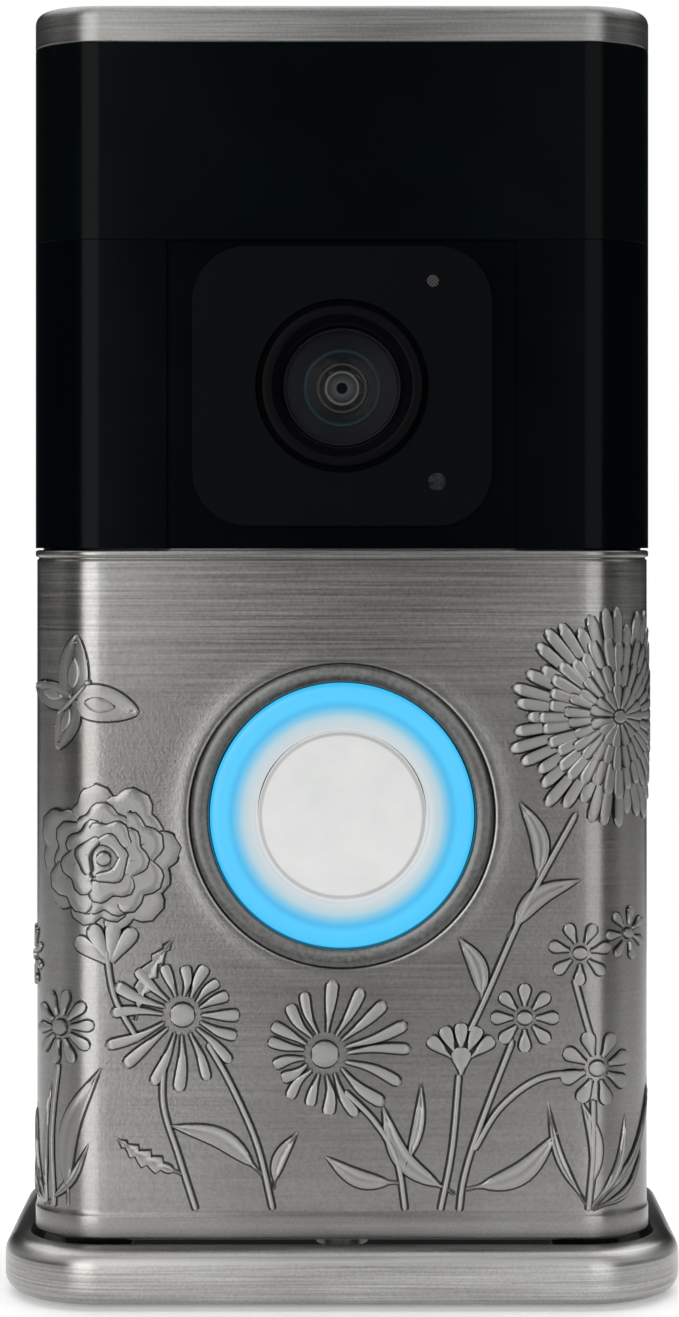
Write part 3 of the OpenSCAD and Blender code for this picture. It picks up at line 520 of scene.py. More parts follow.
def circuit_board(tree):
    """Green solder mask over copper tracks."""
    cells = add_node(tree, "ShaderNodeTexVoronoi", {"Vector": place(tree), "Scale": 420},
                     distance="MANHATTAN", feature="F1").outputs["Distance"]
    mask, track, edge = (0.012, 0.11, 0.045), (0.02, 0.17, 0.07), (0.01, 0.09, 0.04)
    return {
        "Base Color": ramp(tree, cells, [(0.3, mask), (0.42, track), (0.5, edge)]),
        "Roughness": remap(tree, noise(tree, 900), 0.25, 0.4), "Normal": bump(tree, cells, 0.02),
    }


def woven_mesh(tree):
    """Fine wire cloth over the microphone."""
    weave = add_node(tree, "ShaderNodeTexChecker", {"Vector": place(tree), "Scale": 5200}).outputs["Fac"]
    return {
        "Base Color": ramp(tree, weave, [(0.2, grey(0.008)), (0.8, grey(0.05))]),
        "Metallic": 0.7, "Roughness": 0.5,
    }


def paper(tree):
    """White paper that glows faintly."""
    grain = noise(tree, 300, detail=3)
    white = ramp(tree, grain, [(0.3, grey(0.88)), (0.7, grey(0.9))])
    return {"Base Color": white, "Emission Color": white, "Emission Strength": 0.3, "Roughness": 0.9}


dull_black = partial(surface, scale=2400, depth=0.004, specular=0.04)
satin_metal = partial(surface, scale=2600, depth=0.003, metallic=1.0)
dark_lens = partial(surface, specular=0.1)
diffuser = partial(surface, depth=0.03)
FINISHES = {
    "pad_rubber": (moulded, (0.035, 0.035, 0.036), (0.7, 0.85), 1400, 0.03),
    "collar_metal": (pewter, (0.47, 0.465, 0.45), (0.28, 0.38), 0.006, 0.7),
    "bracket_plastic": (moulded, (0.03, 0.03, 0.033), (0.45, 0.6), 2200, 0.02),
    "screw_steel": (turned_metal, (0.55, 0.55, 0.54)),
    "housing_plastic": (moulded, (0.016, 0.017, 0.018), (0.36, 0.5), 2600, 0.012),
    "chassis_plastic": (moulded, (0.03, 0.03, 0.033)),
    "seal_rubber": (moulded, grey(0.018), (0.5, 0.65), 1200, 0.006),
    "cap_metal": (pewter, (0.355, 0.355, 0.345), (0.38, 0.48), 0.004, 0.8),
    "window_black": (gloss, (0.0015, 0.003, 0.003), (0.12, 0.18)),
    "fascia_black": (gloss, (0.0008, 0.0016, 0.0026), (0.12, 0.18)),
    "camera_plate_black": (gloss, (0.0014, 0.0018, 0.0026), (0.3, 0.38), 0.004, 0.03),
    "lens_trim": (dull_black, (0.0008, 0.0009, 0.0015), (0.0015, 0.0016, 0.0026), (0.3, 0.42)),
    "cover_glass": (coated, (0.01, 0.012, 0.014), 0.12),
    "barrel_black": (painted_lens_reflections,),
    "coated_glass": (coated, (0.002, 0.004, 0.007), 0.18),
    "inner_glass": (coated, (0.03, 0.026, 0.016), 0.35),
    "filter_glass": (coated, (0.02, 0.035, 0.04), 0.35),
    "sensor_chip": (surface, (0.02, 0.03, 0.05), (0.05, 0.04, 0.07), (0.1, 0.2), 600),
    "board_green": (circuit_board,),
    "connector_ivory": (moulded, (0.6, 0.56, 0.46)),
    "ir_led_clear": (surface, (0.06, 0.03, 0.05), (0.1, 0.06, 0.09), (0.05, 0.12), 500),
    "sensor_lens": (dark_lens, (0.004, 0.005, 0.006), (0.035, 0.04, 0.042), (0.08, 0.2)),
    "mesh_metal": (woven_mesh,),
    "can_metal": (turned_metal, (0.6, 0.6, 0.58)),
    "lens_white": (diffuser, (0.7, 0.7, 0.68), (0.8, 0.8, 0.78), (0.4, 0.5), 900),
    "light_ring": (glowing_ring,),
    "light_guide": (surface, (0.7, 0.78, 0.82), (0.8, 0.88, 0.9), (0.15, 0.3), 500),
    "led_white": (surface, (0.7, 0.66, 0.35), (0.85, 0.8, 0.5), (0.2, 0.3), 900),
    "flex_amber": (surface, (0.3, 0.13, 0.02), (0.42, 0.2, 0.04), (0.25, 0.4), 700, (6, 1, 1)),
    "shield_tin": (turned_metal, (0.62, 0.62, 0.6), (0.3, 0.45), (1, 1, 8)),
    "antenna_brass": (turned_metal, (0.75, 0.52, 0.22)),
    "speaker_frame": (moulded, grey(0.03)),
    "connector_black": (moulded, grey(0.024), (0.4, 0.55)),
    "contact_gold": (turned_metal, (0.85, 0.6, 0.22), (0.15, 0.3)),
    "faceplate_metal": (pewter, (0.355, 0.35, 0.337), (0.3, 0.38), 0.008, 0.85, 62),
    "bezel_metal": (satin_metal, (0.1, 0.1, 0.098), (0.16, 0.16, 0.157), (0.32, 0.42)),
    "button_white": (button_white,),
    "plunger_plastic": (moulded, grey(0.4)),
    "battery_plastic": (moulded, (0.03, 0.03, 0.034)),
    "battery_cap_plastic": (moulded, grey(0.022)),
    "cell_foil": (turned_metal, (0.6, 0.6, 0.62), (0.25, 0.5), (1, 1, 0.2)),
    "latch_plastic": (moulded, (0.12, 0.12, 0.125)),
    "setup_orange": (moulded, (0.7, 0.2, 0.02), (0.3, 0.4), 1600, 0.008),
}


@cache
def finish(slot):
    """The material of a slot, made once."""
    return material(slot, *FINISHES[slot])


def dress_cad_nodes():
    """Gives each CAD node its slot's finish."""
    slots = {part["node"]: part["material_slot"] for part in frame["record"]["subparts"]}
    for name, node in frame["nodes"].items():
        node.data.materials.clear()
        node.data.materials.append(finish(slots[name]))


# ---- Faceplate ----

FIELD = -0.15          # the field lies this far below the body's outline
SHEET_T = 1.15         # thickness of the sheet
PATCH = 20             # half side of the square patch round the button
HOLE_R = 15.15         # radius of the button's hole


def plate_rows():
    """(height, offset) up the faceplate: foot band, field in steps of 1 mm round the button, top border."""
    low, high = PLATE_LOW[2], PLATE_HIGH[2]
    foot = [(0, -0.35), (0.1, -0.14), (0.32, 0), (2.25, 0), (2.38, -0.03), (2.5, FIELD)]
    top = [(-0.98, FIELD), (-0.9, -0.32), (-0.74, -0.32), (-0.64, -0.04), (-0.5, 0), (-0.2, 0),
           (-0.07, -0.09), (0, -0.35)]
    first = BUTTON[1] - PATCH
    while first - 1 > low + foot[-1][0] + 0.3:
        first -= 1
    field = np.arange(first, high + top[0][0] - 0.3, 1.0)
    return ([(low + z, h) for z, h in foot] + [(z, FIELD) for z in field]
            + [(high + z, h) for z, h in top])


def plate_columns():
    """Values of u across the faceplate, 1 mm apart on the flat and finer on the corners."""
    side = FLAT + QUARTER + PLATE_HIGH[1] - FRONT - CORNER
    flat = np.arange(-FLAT, FLAT + 0.5, 1.0)
    corner = np.linspace(FLAT, FLAT + QUARTER, 25)[1:]
    edge = np.linspace(FLAT + QUARTER, side, 8)[1:]
    right = np.concatenate([corner, edge])
    return np.concatenate([-right[::-1], flat, right])


def rim_rings():
    """(radius, offset) from the patch's inner round ring in to the hole: a slight swell, then the gap."""
    return [(17.9, FIELD), (17.1, FIELD + 0.01), (16.6, FIELD + 0.02), (16.2, FIELD + 0.04),
            (15.8, FIELD + 0.05), (15.5, FIELD + 0.05), (15.3, FIELD + 0.03), (15.2, FIELD), (HOLE_R, -0.6)]


def faceplate_panel():
    """The curved sheet: rows and columns of points, and rings that lead in to the button's hole."""
    rows, us = plate_rows(), plate_columns()
    zs = np.array([z for z, h in rows])
    nearly = 1e-6
    inside_u, inside_z = (np.abs(at) < PATCH - nearly for at in (us, zs - BUTTON[1]))
    closed_u, closed_z = (np.abs(at) < PATCH + nearly for at in (us, zs - BUTTON[1]))
    index, points = {}, []
    for r, (z, h) in enumerate(rows):
        for c, u in enumerate(us):
            if not (inside_u[c] and inside_z[r]):
                index[r, c] = len(points)
                points.append(wrap(u, z, h))
    faces = []
    for r in range(len(rows) - 1):
        for c in range(len(us) - 1):
            if closed_u[c] and closed_u[c + 1] and closed_z[r] and closed_z[r + 1]:
                continue
            faces.append((index[r, c], index[r, c + 1], index[r + 1, c + 1], index[r + 1, c]))
    cols, levels = np.flatnonzero(closed_u), np.flatnonzero(closed_z)
    border = [(levels[0], c) for c in cols[:-1]] + [(r, cols[-1]) for r in levels[:-1]]
    border += [(levels[-1], c) for c in cols[:0:-1]] + [(r, cols[0]) for r in levels[:0:-1]]
    previous = [index[key] for key in border]
    offsets = np.array([(us[c], zs[r] - BUTTON[1]) for r, c in border])
    reach = np.linalg.norm(offsets, axis=1)
    directions = offsets / reach[:, None]
    rings = rim_rings()
    for share in (0.75, 0.5, 0.25, 0.1):
        radii = rings[0][0] + (reach - rings[0][0]) * share
        previous = add_patch_ring(points, faces, previous, directions, radii, FIELD)
    for r, h in rings:
        previous = add_patch_ring(points, faces, previous, directions, np.full(len(reach), r), h)
    obj = add_mesh("faceplate_panel", (np.array(points), faces))
    sheet = obj.modifiers.new("sheet", "SOLIDIFY")
    sheet.thickness = SHEET_T * MM
    sheet.offset = -1
    return piece(obj, "faceplate", "faceplate_metal", "faceplate_shell")


def add_patch_ring(points, faces, previous, directions, radii, h):
    """One more ring round the button, joined to the ring outside it."""
    ring = list(range(len(points), len(points) + len(directions)))
    for direction, r in zip(directions, radii):
        points.append(wrap(BUTTON[0] + direction[0] * r, BUTTON[1] + direction[1] * r, h))
    for i in range(len(ring)):
        j = (i + 1) % len(ring)
        faces.append((previous[i], previous[j], ring[j], ring[i]))
    return ring


def faceplate_lip():
    """The turned-in lip along the bottom, notched round the security screw."""
    inset, back, notch, thickness = 0.5, -4.8, 1.7, 1.15
    reach = HALF - inset
    screw_low, screw_high = box_mm("security_screw")
    screw_y = (screw_low[1] + screw_high[1]) / 2
    plan = [(reach, back), *front_outline(reach, CORNER - inset), (-reach, back), (-notch, back)]
    plan += [*arc(0, screw_y, notch, 180, 360, 16), (notch, back)]
    bottom = PLATE_LOW[2] + 0.05
    obj = add_mesh("faceplate_lip", prism(np.array(plan[::-1]), bottom, bottom + thickness))
    return piece(soften(obj, 0.15), "faceplate", "faceplate_metal", "faceplate_shell")


# ---- Relief on the faceplate ----

SKIRT = 0.15           # dark margin round each raised shape
WALL = 0.1             # width of a shape's steep side
SINK = -0.1            # the shapes' feet go this far into the field
RELIEF = 0.27          # height of a shape above the field
LEVELS = 6             # points from a shape's edge to its middle
PATINA = (1.0, 1.0, 0.9, -0.2, -1.0, -1.0)  # from a shape's edge to its middle


class Relief:
    """Raised shapes, each a closed stroke along a line of (u, height above the faceplate's foot)."""

    def __init__(self):
        self.points, self.faces, self.patina_and_painted_light = [], [], []

    def stroke(self, line, half_width, top=RELIEF, base=0.0, hollow=0.0):
        first = len(self.points)
        step = np.gradient(line, axis=0)
        across = np.column_stack([-step[:, 1], step[:, 0]])
        across /= np.maximum(np.linalg.norm(across, axis=1, keepdims=True), 1e-9)
        self.add(line[0], SINK, 1.0)
        for centre, side, half in zip(line[1:-1], across[1:-1], half_width[1:-1]):
            self.row(centre, side, max(half, 0.02), top, base, hollow)
        self.add(line[-1], SINK, 1.0)
        self.close(first, len(line) - 2, 2 * LEVELS - 1)

    def row(self, centre, side, half, top, base, hollow):
        """Points across the stroke: foot, margin, wall, crown, and the same back down."""
        full = max(half, SKIRT + WALL + 0.06)
        marks = np.array([0, 0.02, SKIRT, SKIRT + WALL, (SKIRT + WALL + full) / 2, full])
        crown = top * (1 - 0.5 * hollow)
        heights = [SINK, base + 0.02, base + 0.02, base + 0.9 * top, base + top, base + crown]
        distance = np.minimum(marks, half * np.arange(LEVELS) / (LEVELS - 1))
        height = np.interp(distance, marks, heights)
        offsets = np.concatenate([distance - half, (half - distance)[-2::-1]])
        levels = np.concatenate([height, height[-2::-1]])
        half_shade = [*PATINA[:-1], PATINA[-1] + hollow]
        shade = half_shade + half_shade[-2::-1]
        for offset, level, dark in zip(offsets, levels, shade):
            self.add(centre + side * offset, level, dark)

    def add(self, at, level, dark):
        self.points.append(wrap(at[0], PLATE_LOW[2] + at[1], FIELD + level))
        self.patina_and_painted_light.append(dark)

    def close(self, first, rows, size):
        """Faces round the rows, and round the point at each end."""
        start, end = first + 1, first + 1 + rows * size
        self.faces += [tuple(start + n for n in face) for face in ring_faces(rows, size)]
        for j in range(size):
            after = (j + 1) % size
            self.faces.append((first, start + after, start + j))
            self.faces.append((end, end - size + j, end - size + after))

    def build(self, name):
        obj = add_mesh(name, (np.array(self.points), self.faces), weld=False, crease=55)
        shade_mesh(obj, self.patina_and_painted_light)
        return piece(obj, "faceplate", "faceplate_metal", "faceplate_shell")


def spread(count):
    """Shares from 0 to 1, closer together near both ends."""
    t = np.linspace(0, 1, count)
    return (t + (1 - np.cos(math.pi * t)) / 2) / 2


def smooth_line(points, count):
    """A smooth line of count points through the given ones."""
    p = np.array(points, float)
    spans = len(p) - 1
    p = np.vstack([2 * p[0] - p[1], p, 2 * p[-1] - p[-2]])
    t = spread(count) * spans
    i = np.minimum(t.astype(int), spans - 1)
    f = (t - i)[:, None]
    a, b, c, d = p[i], p[i + 1], p[i + 2], p[i + 3]
    return 0.5 * (2 * b + (c - a) * f + (2 * a - 5 * b + 4 * c - d) * f**2 + (3 * b - a - 3 * c + d) * f**3)


def rounded_ends(s, start, end):
    """1 along a stroke, falling to 0 as a round end over those shares of its length."""
    head = np.sqrt(np.clip(1 - np.clip((s - 1 + end) / end, 0, 1) ** 2, 0, 1))
    foot = np.sqrt(np.clip(1 - np.clip((start - s) / start, 0, 1) ** 2, 0, 1))
    return head * foot


def club(count, neck, head, end=0.2):
    """Half widths of a petal: narrow at its foot and broad and round at its tip."""
    s = spread(count)
    swell = np.clip(s / 0.8, 0, 1)
    return (neck + (head - neck) * swell**2 * (3 - 2 * swell)) * rounded_ends(s, 0.08, end)


def leaf_width(count, half, teeth=0):
    """Half widths of a leaf on a short stalk, pointed at its tip and broadest near its middle."""
    s = spread(count)
    blade = np.clip((s - 0.12) / 0.88, 0, 1)
    width = half * np.sin(math.pi * blade**0.8) ** 0.85
    if teeth:
        width = width * (1 - 0.55 * (s * teeth % 1.0))
    return np.maximum(width, np.where(s < 0.4, 0.27, 0))


def petal(relief, centre, angle, start, end, neck, head, bend=0.0, rows=12, tip=0.2, **form):
    """A petal that points away from a centre at an angle."""
    centre = np.array(centre, float)
    along = np.array([math.cos(angle), math.sin(angle)])
    across = np.array([-along[1], along[0]])
    middle = centre + along * (start + end) / 2 + across * bend
    line = [centre + along * start, middle, centre + along * end]
    relief.stroke(smooth_line(line, rows), club(rows, neck, head, tip), **form)


def dot(relief, centre, radius, rows=9, **form):
    """A round boss."""
    centre = np.array(centre, float)
    line = centre + np.column_stack([(2 * spread(rows) - 1) * radius, np.zeros(rows)])
    width = radius * np.sqrt(np.clip(1 - (2 * spread(rows) - 1) ** 2, 0, 1))
    relief.stroke(line, width, **form)


def stem(relief, points, half=0.47):
    rows = 10 * len(points)
    relief.stroke(smooth_line(points, rows), half * rounded_ends(spread(rows), 0.03, 0.03), top=0.28)


def leaf(relief, tip, base, half, bow=0.0, teeth=0):
    """A leaf from its base to its tip, with a hollow down its middle."""
    tip, base = np.array(tip, float), np.array(base, float)
    across = np.array([base[1] - tip[1], tip[0] - base[0]])
    middle = (tip + base) / 2 + across * bow
    rows = max(20, 5 * teeth)
    relief.stroke(smooth_line([base, middle, tip], rows), leaf_width(rows, half, teeth), hollow=0.8)


def daisy(relief, centre, reach, petals, heart, lean, rng):
    """Long petals round a round heart, longest on the side it leans to."""
    for i in range(petals):
        angle = 2 * math.pi * (i + rng.uniform(-0.16, 0.16)) / petals
        length = reach * (0.84 + 0.2 * math.cos(angle - lean)) * rng.uniform(0.9, 1.04)
        petal(relief, centre, angle, heart * 1.25, length, 0.34, reach * rng.uniform(0.08, 0.095),
              bend=rng.uniform(-0.4, 0.4), tip=0.14, top=rng.uniform(0.28, 0.34))
    dot(relief, centre, heart, top=0.36)


def small_flower(relief, centre, reach, petals, turn, head):
    """A few broad petals round a small heart."""
    for i in range(petals):
        angle = turn + 2 * math.pi * i / petals
        petal(relief, centre, angle, 0.28 * reach, reach, 0.1 * reach, head * reach, rows=11, tip=0.35,
              top=0.3)
    dot(relief, centre, 0.24 * reach, top=0.4)


def bud(relief, foot, reach, petals=5, lean=90, fan=100):
    """A half-open flower on its cup."""
    for i in range(petals):
        angle = math.radians(lean + fan * (i / (petals - 1) - 0.5))
        petal(relief, foot, angle, 0.25 * reach, reach, 0.3, 0.2 * reach, top=0.3)
    petal(relief, foot, math.radians(lean), -0.25 * reach, 0.45 * reach, 0.35, 0.3 * reach, tip=0.4,
          top=0.34, base=0.1)


def fan_petal(relief, centre, angle, inner, outer, width, edge, **form):
    """A broad petal that spans an angle. edge gives the share of its reach along its outer edge."""
    t = np.linspace(-1, 1, len(edge))
    angles = angle + width / 2 * t
    reach = outer * edge
    line = centre + ((inner + reach) / 2)[:, None] * np.column_stack([np.cos(angles), np.sin(angles)])
    relief.stroke(line, (reach - inner) / 2 * np.sqrt(1 - np.abs(t) ** 3), **form)


def ruffles(waves, phase):
    """An edge of soft waves."""
    t = np.linspace(0, 1, 9 * waves + 8)
    return 1 - 0.16 * np.abs(np.sin(math.pi * (waves * t + phase)))


def rose(relief, centre, reach, rng):
    """Ruffled petals in layers, each just above the one outside it, round a small heart."""
    layers = [(1.0, 7, 1.2), (0.8, 6, 1.35), (0.58, 5, 1.6), (0.36, 3, 2.3)]
    step = 0.06
    for level, (share, count, width) in enumerate(layers):
        size = share * reach
        for i in range(count):
            angle = 2 * math.pi * (i + 0.5 * (level % 2) + rng.uniform(-0.14, 0.14)) / count
            fan_petal(relief, centre, angle, 0.4 * size, size * rng.uniform(0.9, 1.05), width,
                      ruffles(2, rng.random()), hollow=0.3,
                      top=1.1 * step if level or i % 2 else RELIEF,
                      base=RELIEF - step + step * (2 * level + i % 2) if level or i % 2 else 0)
    dot(relief, centre, 0.1 * reach, top=2 * step, base=RELIEF + 7 * step)


def fringed_bloom(relief, centre, reach, rng):
    """Layers of narrow strips with round tips, longest in the middle of each group of about four."""
    layers = [(1.0, 44, 11), (0.74, 36, 9), (0.5, 27, 7), (0.28, 15, 4)]
    step = 0.08
    for level, (share, count, lobes) in enumerate(layers):
        size = share * reach
        for i in range(count):
            angle = 2 * math.pi * (i + rng.uniform(-0.12, 0.12)) / count
            lobe = abs(math.cos(lobes * angle / 2 + 1.1 * level))
            petal(relief, centre, angle, 0.2 * size, size * (0.84 + 0.16 * lobe) * rng.uniform(0.97, 1.04),
                  0.3, 3.0 * size / count, rows=11, tip=0.16, top=1.1 * step if level else RELIEF,
                  base=RELIEF + step * (level - 1) if level else 0)
    dot(relief, centre, 0.07 * reach, top=2 * step, base=RELIEF + 3 * step)


def butterfly(relief, centre, wings, head, tail):
    """Wings with a raised cell and spots, and a body. wings holds each wing's tip and half width."""
    centre = np.array(centre, float)
    for tip, half in wings:
        along = np.array(tip, float) - centre
        across = np.array([-along[1], along[0]]) / np.linalg.norm(along)
        shares = spread(20)
        wing = half * np.sin(math.pi * np.clip(shares, 0, 1) ** 0.7) ** 0.55
        relief.stroke(smooth_line([centre, centre + 0.5 * along + 0.1 * half * across, tip], 20), wing,
                      top=0.26, hollow=0.9)
        cell = smooth_line([centre + 0.16 * along, centre + 0.66 * along], 12)
        relief.stroke(cell, 0.5 * half * np.sin(math.pi * spread(12) ** 0.9) ** 0.7, top=0.16, base=0.14)
        for share, side in ((0.87, 0.0), (0.76, 0.42), (0.76, -0.42), (0.6, -0.62)):
            dot(relief, centre + share * along + side * half * across, 0.24, rows=7, top=0.14, base=0.16)
    body = smooth_line([head, centre, tail], 12)
    relief.stroke(body, 0.42 * rounded_ends(spread(12), 0.2, 0.2), top=0.4, base=0.15)
    dot(relief, head, 0.45, top=0.4, base=0.2)


def grass(relief, foot, tips):
    """Blades that fan out from one foot."""
    for tip, bow in tips:
        leaf(relief, tip, foot, 0.62, bow)


FOOT = 2.75            # the stems start this far above the faceplate's foot


def flowers():
    relief, rng = Relief(), random.Random(11)
    daisy(relief, (-15.8, 22.3), 8.2, 16, 1.35, -2.2, rng)
    daisy(relief, (-1.7, 18.4), 8.4, 17, 1.5, 0.4, rng)
    for x, z, reach, petals, turn, head in (
        (18.1, 22.0, 3.5, 8, 0.0, 0.24), (25.3, 17.0, 3.9, 8, 0.3, 0.24), (23.6, 28.4, 3.3, 7, 0.2, 0.24),
        (28.9, 30.2, 2.8, 7, 0.5, 0.24), (-28.3, 20.9, 3.9, 10, 0.1, 0.2), (-34.5, 27.5, 3.2, 9, 0.4, 0.2),
    ):
        small_flower(relief, (x, z), reach, petals, turn, head)
    bud(relief, (11.8, 17.3), 4.3)
    return relief.build("relief_flowers")


def rose_and_butterfly():
    relief, rng = Relief(), random.Random(5)
    for lean in (-46, -16, 16, 46):
        petal(relief, (-23.0, 27.4), math.radians(100 + lean), 0.0, 4.4, 0.5, 1.0, tip=0.25, top=0.26)
    rose(relief, (-23.6, 37.8), 7.9, rng)
    butterfly(relief, (-26.8, 53.5), [((-20.0, 52.2), 2.0), ((-26.4, 60.0), 1.9), ((-28.8, 48.4), 1.6),
                                      ((-33.4, 54.8), 1.5)], (-25.2, 55.2), (-28.6, 51.9))
    return relief.build("relief_rose")


def large_bloom():
    relief, rng = Relief(), random.Random(3)
    fringed_bloom(relief, (27.6, 51.8), 11.4, rng)
    return relief.build("relief_bloom")


def stems_and_leaves():
    relief = Relief()
    for points in (
        [(-23.4, 28.8), (-22.5, 24.0), (-20.1, 19.6)],
        [(-17.6, 18.4), (-17.7, 13.4), (-16.2, 8.4), (-14.4, FOOT)],
        [(-13.4, 19.6), (-11.0, 15.4), (-8.4, 9.4), (-6.8, FOOT)],
        [(0.2, 14.8), (3.2, 11.8), (5.4, 8.0), (6.3, FOOT)],
        [(11.6, 16.6), (10.9, 9.0), (9.7, FOOT)],
        [(17.0, 20.0), (14.9, 14.6), (13.0, 9.4), (12.0, 5.8), (11.6, FOOT)],
        [(23.6, 16.6), (19.4, 15.9), (15.6, 13.0), (13.0, 8.8)],
        [(24.9, 14.0), (24.9, 8.6), (24.4, FOOT)],
        [(23.4, 42.6), (18.1, 32.8), (14.2, 24.0), (12.6, 20.6)],
        [(23.0, 26.0), (24.4, 21.0), (24.9, 19.8)],
        [(-28.6, 17.4), (-29.6, 10.0), (-29.2, FOOT)],
    ):
        stem(relief, points)
    for tip, base, half, bow, teeth in (
        ((-23.7, 17.4), (-27.4, 2.9), 1.25, 0.12, 0), ((-22.6, 10.2), (-15.5, 6.4), 1.25, 0.05, 6),
        ((-17.4, 11.4), (-7.6, 6.2), 1.15, -0.12, 0), ((-4.2, 10.9), (-6.9, 4.8), 0.85, 0.1, 0),
        ((-1.9, 8.4), (6.0, 5.6), 1.05, 0.12, 0), ((7.9, 16.2), (6.0, 6.4), 0.75, -0.06, 0),
        ((3.8, 13.9), (11.4, 4.4), 1.15, 0.16, 0), ((21.6, 10.9), (12.0, 4.9), 1.25, -0.14, 0),
        ((-16.5, 30.2), (-20.6, 21.6), 1.2, 0.08, 6), ((17.4, 43.8), (19.3, 34.9), 1.1, -0.14, 0),
        ((23.9, 35.8), (16.3, 29.8), 1.15, 0.14, 0), ((11.4, 30.2), (13.9, 23.2), 1.1, -0.12, 0),
        ((23.6, 14.2), (24.8, 4.4), 0.9, -0.1, 0),
    ):
        leaf(relief, tip, base, half, bow, teeth)
    grass(relief, (-30.5, 2.9), [((-25.0, 9.8), -0.1), ((-29.6, 15.6), 0.05), ((-33.6, 13.0), 0.1),
                                 ((-36.5, 8.6), 0.14)])
    grass(relief, (24.6, 2.9), [((20.3, 14.2), 0.08), ((28.6, 12.6), -0.12), ((31.5, 8.8), -0.16),
                                ((33.8, 15.6), -0.08)])
    return relief.build("relief_leaves")


# ---- Collar, cap and black front ----

COLLAR_LIP = 0.45      # gap between the body and the collar's rim
COLLAR_ROUND = 0.15    # rounding of the collar's inner edges


def collar_rim():
    """The rounded rim round the body's foot, with a painted highlight on its shoulder and painted shade
    along its top.
    """
    low, high = box_mm("base_collar")
    reach, foot, top, lip = high[0] - HALF, low[2], high[2], COLLAR_LIP
    shoulder, bevel, round_foot = 1.9, 0.12, 1.6
    profile = [(lip, foot), (lip, top - 0.15), (lip + 0.05, top - 0.05), (lip + 0.15, top),
               (lip + 0.32, top)]
    profile += arc(reach - shoulder, top - bevel - shoulder, shoulder, 82, 4, 15)
    profile += [(reach + 0.02, 3.2), (reach + 0.02, 2.4)]
    profile += arc(reach - round_foot, foot + round_foot, round_foot, -4, -90, 9)
    obj = add_mesh("collar_rim", swept(profile, outline_path(high[1], 28)), crease=50)
    heights = [v.co.z / MM for v in obj.data.vertices]
    # Painted light by height: a painted highlight on the shoulder round 4.7 mm, and painted shade that
    # grows towards the top.
    shade_mesh(obj, np.interp(heights, (4.2, 4.7, 5.1, 5.45, top), (0, -0.8, -0.5, 0.1, 0.3)))
    return piece(obj, "mount", "collar_metal", "base_collar")


def collar_floor():
    """The plate inside the rim, under the body, with an opening that the battery passes."""
    back, bottom, top = box_mm("base_collar")[1][1], 1.05, box_mm("wall_bracket")[0][2]
    margin = COLLAR_LIP + 0.2
    reach = HALF + margin
    plan = [(reach, back), *front_outline(reach, CORNER + margin), (-reach, back)]
    obj = add_mesh("collar_floor", prism(np.array(plan[::-1]), bottom, top))
    carve(obj, prism(fillet([(-22, -10.5), (22, -10.5), (22, 12), (-22, 12)], 2, 6), 0, 4))
    return piece(soften(obj, COLLAR_ROUND), "mount", "collar_metal", "base_collar")


def collar_ears():
    """Blocks between the rim's ends and the bracket."""
    top = box_mm("base_collar")[1]
    bracket = box_mm("wall_bracket")[1]
    inner, outer = bracket[0] + 0.3, HALF + COLLAR_LIP + 0.1
    front, back = bracket[1] - 2, top[1]
    ears = [
        prism(np.array([(inner * s, front), (outer * s, front), (outer * s, back), (inner * s, back)]),
              1.9, top[2] - 0.05)
        for s in (-1, 1)
    ]
    obj = add_mesh("collar_ears", joined(*ears))
    return piece(soften(obj, COLLAR_ROUND), "mount", "collar_metal", "base_collar")


def top_cap():
    """The metal cap: an upright edge that turns over into a low crown."""
    bottom, top = box_mm("sensor_window")[1][2], box_mm("top_cap")[1][2]
    wall, ceiling = 1.6, bottom + 1.5
    rise, reach = 1.1, 1.0
    edge = top - bottom - rise
    steps = [(wall, ceiling), (wall, bottom), (0.12, bottom), (0.0, bottom + 0.12), (0.0, bottom + edge)]
    for a in np.linspace(0, math.pi / 2, 13)[1:]:
        steps.append((reach * (1 - math.cos(a)), bottom + edge + rise * math.sin(a)))
    rings = []
    for inset, z in steps:
        plan = full_outline(inset)
        rings.append(np.column_stack([plan, np.full(len(plan), z)]))
    return piece(add_mesh("cap_shell", loft(rings), crease=40), "unit", "cap_metal", "top_cap")


def shell_sides(back_y, thickness=1.6):
    """Plan of a front shell: its outside, and its inside on the way back."""
    us = outline_path(back_y)
    return wrap(us, 0.0)[:, :2], wrap(us, 0.0, -thickness)[::-1, :2]


def sensor_window():
    low, high = box_mm("sensor_window")
    obj = add_mesh("window_shell", prism(np.concatenate(shell_sides(high[1])), low[2], high[2]))
    return piece(soften(obj, 0.12), "unit", "window_black", "sensor_window")


def front_holes(lens_r, front, back, lens_segments, segments):
    """Cutters for the lens, the light sensor and the microphone, between two depths."""
    sensor_r, microphone_r, centre = 0.95, 0.65, 0.001
    holes = ((LENS, lens_r, lens_segments), (axis_of("light_sensor_lens"), sensor_r, segments),
             (axis_of("mic_mesh"), microphone_r, segments))
    return [turned([(centre, front), (r, front), (r, back), (centre, back)], at, count)
            for at, r, count in holes]


